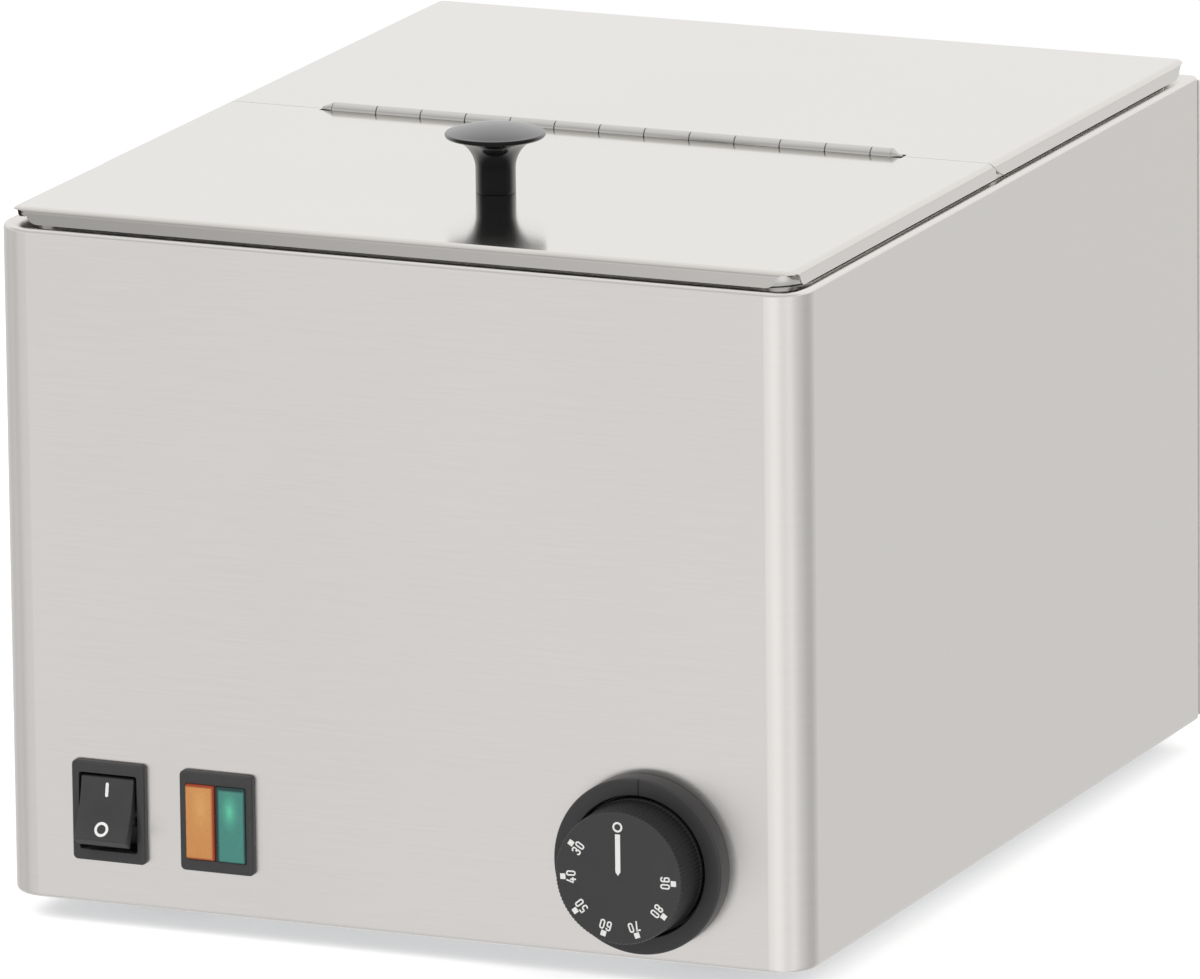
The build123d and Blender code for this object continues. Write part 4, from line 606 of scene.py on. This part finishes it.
barHigh = rocker["halfLength"] - marks["barInset"]
bar = barOutline(marks["barWide"] / 2, barHigh - marks["barLong"], barHigh) + [marks["barX"], 0]
ringLow = -rocker["halfLength"] + marks["ringInset"]
ringRadius = marks["ringOuter"] - marks["ringStroke"] / 2
ringPath = circlePath(marks["ringX"], ringLow + marks["ringOuter"], ringRadius)
barGrid = plateGrid(bar, -marks["sunk"], marks["proud"])
ringGrid = strokeGrid(ringPath, marks["ringStroke"] / 2, -marks["sunk"], marks["proud"], closed=True)
for markGrid in (barGrid, ringGrid):
    markGrid[..., 2] += faceHeight(markGrid[..., 1])
makePiece("switchMarks",
          [(onPlane(barGrid, switchCentre, panelRight, rockerUp, rockerOut), False),
           (onPlane(ringGrid, switchCentre, panelRight, rockerUp, rockerOut), True)],
          "rocker", "black_satin", finish=inkFinish)
print("switch built")

# Twin indicator lamp

lampCentre = np.array([panel["lampX"], panel["face"], panel["controlHeight"]])
lamp = {"bodyHalfWidth": 10.9, "bodyHalfHeight": 14.9, "depth": 24.0, "mouthHalfWidth": 10.4,
        "mouthHalfHeight": 12.35, "mouthCorner": 0.4, "lip": 0.2, "pocket": 15.0}
web = {"half": 0.2, "corner": 0.1, "front": 2.3, "bite": 0.3, "edge": 0.2, "thinner": 0.08, "shorter": 0.1}
webHalfHeight = lamp["mouthHalfHeight"] + web["bite"]
webRings = [(web["half"], webHalfHeight, web["corner"], -lamp["pocket"] - web["bite"]),
            (web["half"], webHalfHeight, web["corner"], web["front"] - web["edge"]),
            (web["half"] - web["thinner"], webHalfHeight - web["shorter"], web["corner"] / 2, web["front"])]
makePiece("lampHousing",
          [(housingGrid(lamp, lampCentre), False), (loftedRings(webRings, lampCentre, 2), False)],
          "cabinet", "black_satin", ["lamp_housing"])

lens = {"halfWidth": 5.05, "halfHeight": 12.3, "corner": 0.7, "back": -2.6, "front": 3.2, "edge": 0.6,
        "crown": 0.2, "cornerShrink": 0.6, "leastCorner": 0.15, "closing": 0.97, "cornerClosing": 0.8}


# rings of a lens: straight sides, a rounded front edge, then a low crown that closes on a small flat
def lensRings():
    halfWidth, halfHeight, least = lens["halfWidth"], lens["halfHeight"], lens["leastCorner"]
    start = [(halfWidth, halfHeight, lens["corner"], lens["back"])]
    inset, height = edgeArc(lens["edge"], lens["front"] - lens["crown"])
    corner = np.maximum(lens["corner"] - lens["cornerShrink"] * inset, least)
    rounded = np.column_stack([halfWidth - inset, halfHeight - inset, corner, height])
    share = np.linspace(0, 1, 8)[1:]
    flat = halfWidth - lens["edge"]
    dome = np.column_stack([flat * (1 - lens["closing"] * share),
                            halfHeight - lens["edge"] - lens["closing"] * flat * share,
                            least * (1 - lens["cornerClosing"] * share),
                            lens["front"] - lens["crown"] * (1 - share) ** 2])
    return np.vstack([start, rounded, dome])


for lensName, nodeName, look, slotName in (("amberLens", "amber_lens", amberLook, "amber_glass"),
                                           ("greenLens", "green_lens", greenLook, "green_glass")):
    lensCentre = np.array([look["x"], panel["face"], panel["controlHeight"]])
    makePiece(lensName, [(loftedRings(lensRings(), lensCentre, 5), False)], "cabinet", slotName,
              [nodeName], 40)
print("lamp built")

# Thermostat dial

dialCentre = np.array([panel["dialX"], panel["face"], panel["dialHeight"]])
# the slot's wall is an angle in radians; points of the profile within the slot's band of the top are sunk
ring = {"outer": 28.4, "height": 7.1, "bore": 22.9, "floor": 2.0, "edge": 0.8, "hole": 5.1, "columns": 192,
        "slotHalf": 0.22, "slotDepth": 0.3, "slotTurn": 1.7, "slotWall": 0.0015, "slotBand": 0.35}
ringProfile = roundedPath([
    (ring["hole"], 0), (ring["outer"], 0, 0.3), (ring["outer"], ring["height"], ring["edge"]),
    (ring["bore"], ring["height"], 0.4), (ring["bore"], ring["floor"], 0.6), (ring["hole"], ring["floor"]),
    (ring["hole"], 0)])[:-1]
slotAngle = math.radians(ring["slotTurn"])
slotHalf = ring["slotHalf"] / ((ring["outer"] + ring["bore"]) / 2)
slotEdge = slotHalf + ring["slotWall"]
halfColumn = math.pi / ring["columns"]
plainAngles = fullTurn(ring["columns"]) + slotAngle + halfColumn
slotAngles = slotAngle + np.array([-slotEdge, -slotHalf, slotHalf, slotEdge])
ringAngles = np.sort(np.concatenate([plainAngles, slotAngles]))
inSlot = np.abs(ringAngles - slotAngle) < (slotHalf + slotEdge) / 2
onFace = ringProfile[:, 1] > ring["height"] - ring["slotBand"]
slotDent = -ring["slotDepth"] * (onFace[:, None] & inSlot[None, :])
ringGrid = turnedGrid(ringProfile, dialCentre, panelRight, panelUp, panelOut, ringAngles, dent=slotDent)
makePiece("dialRing", [(np.swapaxes(ringGrid, 0, 1), True)], "cabinet", "black_gloss",
          ["thermostat_ring"], finish=dialFinish)

knob = {"ribCount": 104, "ribDepth": 0.35, "perRib": 8, "base": 21.9, "bottom": 2.7, "side": 21.4,
        "front": 21.97, "hollow": 19.0, "wall": 2.2, "hub": 6.5, "hubBottom": 4.3, "bore": 3.05,
        "boreTop": 16.55, "ribFrom": 7.9, "ribSlope": 0.5, "ribStep": 0.12, "sideFrom": 20.2, "slack": 0.05,
        "fade": 0.9, "fadePast": 0.15}
knobProfile = roundedPath([
    (0, knob["boreTop"]), (knob["bore"], knob["boreTop"]), (knob["bore"], knob["hubBottom"]),
    (knob["hub"], knob["hubBottom"]), (knob["hub"], knob["hollow"], 0.6),
    (knob["side"] - knob["wall"], knob["hollow"], 0.8), (knob["base"] - knob["wall"], knob["bottom"]),
    (knob["base"], knob["bottom"], 0.3), (knob["base"], knob["ribFrom"] - knob["ribSlope"], 0.2),
    (knob["base"] - knob["ribStep"], knob["ribFrom"]), (knob["side"], knob["front"], 0.9),
    (0, knob["front"])], 6)


# ribs: the radius falls and rises with the cosine of the turn, only between the two ends of the side
def ribWave(profile, angles):
    height = profile[:, 1]
    outside = (profile[:, 0] > knob["sideFrom"]) & (height > knob["ribFrom"] - knob["slack"])
    fade = np.clip((knob["front"] + knob["fadePast"] - height) / knob["fade"], 0, 1) * outside
    crest = (np.cos(knob["ribCount"] * angles) - 1) / 2
    return knob["ribDepth"] * fade[:, None] * crest[None, :]


knobAngles = fullTurn(knob["ribCount"] * knob["perRib"])
knobGrid = turnedGrid(knobProfile, dialCentre, panelRight, panelUp, panelOut, knobAngles,
                      wave=ribWave(knobProfile, knobAngles))
makePiece("dialKnob", [(knobGrid, False)], "dial", "black_gloss", ["thermostat_knob"], 50, dialFinish)

dialMarks = {"sunk": 21.85, "top": 22.0, "firstTurn": -57.5, "step": -35.5, "squareRadius": 18.75,
             "square": 1.8, "digitRadius": 15.95, "halfDigit": 0.6, "halfTall": 1.385, "stroke": 0.245,
             "apart": 1.13, "zeroRadius": 16.6, "zeroRing": 1.36, "zeroStroke": 0.31, "pointerOuter": 14.3,
             "pointerInner": 0.93, "pointerHalf": 0.85, "pointerTip": 1.2, "layer": 0.012}


# centre lines of the condensed figures: straight runs with rounded corners, and closed loops
def figurePaths():
    side, top, over, bend = dialMarks["halfDigit"], dialMarks["halfTall"], dialMarks["stroke"], 0.5

    def loop(left, low, right, high, size):  # begins and ends in the middle of its lower side
        middle = (left + right) / 2
        path = roundedPath([(middle, low), (right, low, size), (right, high, size), (left, high, size),
                            (left, low, size), (middle, low)], 6)
        return path[:-1], True

    def run(*corners):
        return roundedPath(corners, 6), False

    six = [run((side, top - 0.6), (side, top, bend), (-side, top, bend), (-side, -top, bend),
               (side, -top, bend), (side, 0.2, bend), (over - side, 0.2))]
    return {
        "0": [loop(-side, -top, side, top, 0.55)],
        "3": [run((-side, top - 0.6), (-side, top, bend), (side, top, bend), (side, 0.06, 0.4), (-0.2, 0.06)),
              run((-0.2, -0.06), (side, -0.06, 0.4), (side, -top, bend), (-side, -top, bend),
                  (-side, 0.6 - top))],
        "4": [run((0.1, top + over), (-side - 0.1, -0.6, 0.02), (side + 0.35, -0.6)),
              run((0.3, 0.35), (0.3, -top - over))],
        "5": [run((side, top), (-side, top, 0.02), (-side, 0.2, 0.02), (side, 0.2, bend),
                  (side, -top, bend), (-side, -top, bend), (-side, 0.5 - top))],
        "6": six,
        "7": [run((-side - 0.1, top), (side, top, 0.02), (-0.15, -top - over))],
        "8": [loop(0.04 - side, 0.04, side - 0.04, top, 0.5), loop(-side, -top, side, 0.04, 0.5)],
        "9": [(-path, closed) for path, closed in six],
    }


# a mark's own across and along turn with its place on the dial, with its top outwards
def turnedMark(flat, degrees, radius):
    angle = math.radians(degrees)
    across = np.array([math.cos(angle), -math.sin(angle)])
    outward = np.array([math.sin(angle), math.cos(angle)])
    return flat[..., :1] * across + (flat[..., 1:2] + radius) * outward


figures = figurePaths()
markShells = []
sunk, top = dialMarks["sunk"], dialMarks["top"]
half = dialMarks["square"] / 2
square = np.array([(-half, -half), (half, -half), (half, half), (-half, half)])
for place, number in enumerate(("30", "40", "50", "60", "70", "80", "90")):
    degrees = dialMarks["firstTurn"] + place * dialMarks["step"]
    markShells.append((plateGrid(turnedMark(square, degrees, dialMarks["squareRadius"]), sunk, top), False))
    for column, figure in enumerate(number):
        shift = [(2 * column - 1) * dialMarks["apart"], 0]
        for layer, (path, closed) in enumerate(figures[figure]):
            moved = turnedMark(path + shift, degrees, dialMarks["digitRadius"])
            level = top - layer * dialMarks["layer"]
            markShells.append((strokeGrid(moved, dialMarks["stroke"], sunk, level, closed), closed))
zeroPath = circlePath(0, dialMarks["zeroRadius"], dialMarks["zeroRing"])
markShells.append((strokeGrid(zeroPath, dialMarks["zeroStroke"], sunk, top, True), True))
half, outer, inner = dialMarks["pointerHalf"], dialMarks["pointerOuter"], dialMarks["pointerInner"]
shoulder = inner + dialMarks["pointerTip"]
pointer = np.array([(-half, outer), (-half, shoulder), (0, inner), (half, shoulder), (half, outer)])
markShells.append((plateGrid(pointer, sunk, top), False))
makePiece("dialMarks",
          [(onPlane(shell, dialCentre, panelRight, panelUp, panelOut), wrap) for shell, wrap in markShells],
          "dial", "black_gloss", finish=inkFinish)
print("dial built")

# Lid knob

lidKnob = {"x": 3.3, "y": -96.0, "lidTop": 232.7, "cap": 16.0, "rimHeight": 18.6, "dome": 3.2, "neck": 6.4,
           "neckHeight": 7.6, "edge": 0.8, "foot": 2.0, "footEdge": 0.25, "bore": 2.1, "boreDepth": 12.0,
           "columns": 128}


# neck, a flare on an arc that leaves the neck upright, a half round rim and a domed top
def lidKnobProfile():
    cap, edge, rimHeight, dome = (lidKnob[key] for key in ("cap", "edge", "rimHeight", "dome"))
    neck, neckHeight, bore, boreDepth = (lidKnob[key] for key in ("neck", "neckHeight", "bore", "boreDepth"))
    foot = roundedPath([(0, boreDepth), (bore, boreDepth), (bore, 0), (neck, 0, lidKnob["footEdge"]),
                        (neck, lidKnob["foot"])], 4)
    reach, rise = cap - edge - neck, rimHeight - edge - neckHeight
    radius = (reach ** 2 + rise ** 2) / (2 * reach)
    angles = np.linspace(0, math.atan2(rise, radius - reach), 25)
    flare = np.column_stack([neck + radius * (1 - np.cos(angles)), neckHeight + radius * np.sin(angles)])
    turns = np.linspace(-math.pi / 2, math.pi / 2, 13)
    rim = np.column_stack([cap - edge + edge * np.cos(turns), rimHeight + edge * np.sin(turns)])
    inner, rise = cap - edge, dome - edge
    domeRadius = (inner ** 2 + rise ** 2) / (2 * rise)
    out = np.linspace(inner, 0, 19)[1:]
    domed = np.column_stack([out, rimHeight + dome - domeRadius + np.sqrt(domeRadius ** 2 - out ** 2)])
    return np.vstack([foot, flare, rim[1:], domed])


knobPlace = np.array([lidKnob["x"], lidKnob["y"], lidKnob["lidTop"]])
lidKnobGrid = turnedGrid(lidKnobProfile(), knobPlace, panelRight, -panelOut, panelUp,
                         fullTurn(lidKnob["columns"]))
makePiece("lidKnob", [(lidKnobGrid, False)], "front_cover", "black_gloss", ["lid_knob"], 50)
print("lid knob built")

# Camera

cameraFit = {"turn": 0.411, "tilt": 0.2412, "roll": -0.0115, "distance": 5.0451, "right": 0.004718,
             "down": 0.10231, "baseHeight": 0.008, "lens": 465.93, "sensor": 36.0, "near": 0.1, "far": 40}


# the camera looks back along the turn and tilt, and is shifted across and down its own view
def placeCamera():
    turn, tilt, roll = cameraFit["turn"], cameraFit["tilt"], cameraFit["roll"]
    right = Vector((math.cos(turn), math.sin(turn), 0))
    back = Vector((math.sin(turn) * math.cos(tilt), -math.cos(turn) * math.cos(tilt), math.sin(tilt)))
    down = (-back).cross(right)
    across = right * math.cos(roll) - down * math.sin(roll)
    along = right * math.sin(roll) + down * math.cos(roll)
    spot = (back * cameraFit["distance"] - across * cameraFit["right"] - along * cameraFit["down"]
            + Vector((0, 0, cameraFit["baseHeight"])))
    data = bpy.data.cameras.new("photoCamera")
    data.lens, data.sensor_width, data.sensor_fit = cameraFit["lens"], cameraFit["sensor"], "HORIZONTAL"
    data.clip_start, data.clip_end = cameraFit["near"], cameraFit["far"]
    camera = bpy.data.objects.new("photoCamera", data)
    bpy.context.collection.objects.link(camera)
    camera.matrix_world = Matrix(((across.x, -along.x, back.x, spot.x), (across.y, -along.y, back.y, spot.y),
                                  (across.z, -along.z, back.z, spot.z), (0, 0, 0, 1)))
    bpy.context.scene.camera = camera


placeCamera()

# Floor, world and lamps

studio = {"floorReach": 1.02, "floorColour": (0.86, 0.86, 0.86), "floorLift": 0.35, "sky": 0.62,
          "brightest": 1.25, "levelEnds": (0.02, 0.16), "behindEnds": (-0.15, 0.25), "aim": (0, 0, 0.12)}
# brightness that metal and glass see up to the horizon, by the turn in degrees from straight in front
# towards the right
lowTurns = [(-180, 0.84), (-150, 0.86), (-120, 0.80), (-100, 0.56), (-84, 0.74), (-66, 0.50), (-52, 0.78),
            (-40, 0.70), (-28, 0.71), (-23.5, 0.75), (-18, 0.88), (-8, 1.0), (4, 1.08), (20, 1.06),
            (30, 0.78), (42, 0.80), (52, 1.02), (62, 0.98), (72, 0.70), (92, 0.66), (104, 0.52),
            (134, 0.50), (146, 0.76), (160, 0.82), (180, 0.84)]
# and over the horizon, by the height in degrees, in front and behind
frontRise = [(-90, 0.78), (-4, 0.80), (6, 0.86), (16, 0.70), (24, 0.60), (32, 0.60), (44, 0.78),
             (60, 0.90), (90, 0.98)]
backRise = [(-90, 0.78), (-14, 0.80), (0, 0.92), (10, 1.0), (40, 1.0), (90, 1.02)]
studioLamps = [
    {"name": "keyLamp", "spot": (-1.5, -2.0, 2.4), "size": 1.8, "power": 46.0},
    {"name": "fillLamp", "spot": (2.2, -1.2, 1.6), "size": 1.8, "power": 24.0},
    {"name": "backLamp", "spot": (0.3, 2.2, 2.2), "size": 1.8, "power": 20.0},
]


# round floor: point = reach x (cosine, sine) of the angle
def buildFloor():
    rim = circlePath(0, 0, studio["floorReach"], 96)
    mesh = bpy.data.meshes.new("studioFloor")
    mesh.from_pydata(np.column_stack([rim, 0 * rim[:, 0]]).tolist(), [], [list(range(len(rim)))])
    finish = bpy.data.materials.new("floorFinish")
    finish.use_nodes = True
    tree = finish.node_tree
    shader = tree.nodes["Principled BSDF"]
    shader.inputs["Base Color"].default_value = (*studio["floorColour"], 1)
    shader.inputs["Roughness"].default_value = 0.9
    shader.inputs["Specular IOR Level"].default_value = 0.0
    path = tree.nodes.new("ShaderNodeLightPath")
    lift = mathNode(tree, "MULTIPLY", {1: studio["floorLift"]})
    joinNodes(tree, (path, "Is Camera Ray", lift, 0), (lift, 0, shader, "Emission Strength"))
    shader.inputs["Emission Color"].default_value = (1, 1, 1, 1)
    mesh.materials.append(finish)
    floor = bpy.data.objects.new("studioFloor", mesh)
    bpy.context.collection.objects.link(floor)
    floor.visible_glossy = False


# a curve of brightness as a ramp of grey stops, each divided by the brightest
def brightnessRamp(tree, stops):
    ramp = tree.nodes.new("ShaderNodeValToRGB")
    ramp.color_ramp.interpolation = "EASE"
    first, last = stops[0][0], stops[-1][0]
    places = [(degrees - first) / (last - first) for degrees, value in stops]
    for place in places[1:-1]:
        ramp.color_ramp.elements.new(place)
    for element, place, (degrees, value) in zip(ramp.color_ramp.elements, places, stops):
        element.position = place
        element.color = (*[value / studio["brightest"]] * 3, 1)
    return ramp


# the turn of a direction = arctangent of its right over its front part; the height = arcsine of z
def buildWorld():
    world = bpy.data.worlds.new("studioWorld")
    bpy.context.scene.world = world
    world.use_nodes = True
    tree = world.node_tree
    background = tree.nodes["Background"]
    path = tree.nodes.new("ShaderNodeLightPath")
    place = tree.nodes.new("ShaderNodeTexCoord")
    split = tree.nodes.new("ShaderNodeSeparateXYZ")
    front = mathNode(tree, "MULTIPLY", {1: -1.0})
    turn = mathNode(tree, "ARCTAN2")
    turnShare = addNode(tree, "ShaderNodeMapRange", None, {1: -math.pi, 2: math.pi})
    rise = mathNode(tree, "ARCSINE")
    riseShare = addNode(tree, "ShaderNodeMapRange", None, {1: -math.pi / 2, 2: math.pi / 2})
    lowRamp = brightnessRamp(tree, lowTurns)
    frontRamp = brightnessRamp(tree, frontRise)
    backRamp = brightnessRamp(tree, backRise)
    behind = smoothStep(tree, {1: studio["behindEnds"][0], 2: studio["behindEnds"][1]})
    byHeight = mixNode(tree, "FLOAT")
    nearLevel = smoothStep(tree, {1: studio["levelEnds"][0], 2: studio["levelEnds"][1]})
    mirror = mixNode(tree, "FLOAT")
    scaled = mathNode(tree, "MULTIPLY", {1: studio["brightest"]})
    shown = mathNode(tree, "MAXIMUM")
    glossy = mixNode(tree, "FLOAT", {2: studio["sky"]})
    final = mixNode(tree, "FLOAT", {3: 1.0})
    joinNodes(tree, (place, "Generated", split, 0), (split, "Y", front, 0), (split, "X", turn, 0),
              (front, 0, turn, 1), (turn, 0, turnShare, 0), (turnShare, 0, lowRamp, "Fac"),
              (split, "Z", rise, 0), (rise, 0, riseShare, 0), (riseShare, 0, frontRamp, "Fac"),
              (riseShare, 0, backRamp, "Fac"), (split, "Y", behind, 0), (behind, 0, byHeight, 0),
              (frontRamp, "Color", byHeight, 2), (backRamp, "Color", byHeight, 3),
              (split, "Z", nearLevel, 0), (nearLevel, 0, mirror, 0), (lowRamp, "Color", mirror, 2),
              (byHeight, 0, mirror, 3), (mirror, 0, scaled, 0), (path, "Is Glossy Ray", shown, 0),
              (path, "Is Transmission Ray", shown, 1), (shown, 0, glossy, 0), (scaled, 0, glossy, 3),
              (path, "Is Camera Ray", final, 0), (glossy, 0, final, 2), (final, 0, background, "Strength"))
    background.inputs["Color"].default_value = (1, 1, 1, 1)


# a square soft lamp at its spot, turned to the middle of the object
def hangLamp(lampLook):
    data = bpy.data.lights.new(lampLook["name"], "AREA")
    data.energy, data.size = lampLook["power"], lampLook["size"]
    light = bpy.data.objects.new(lampLook["name"], data)
    bpy.context.collection.objects.link(light)
    spot = Vector(lampLook["spot"])
    facing = (Vector(studio["aim"]) - spot).to_track_quat("-Z", "Y").to_matrix().to_4x4()
    light.matrix_world = Matrix.Translation(spot) @ facing
    light.visible_camera = False
    light.visible_glossy = False


buildFloor()
buildWorld()
for lampLook in studioLamps:
    hangLamp(lampLook)
bpy.context.scene.view_settings.view_transform = "Standard"
print("studio built")
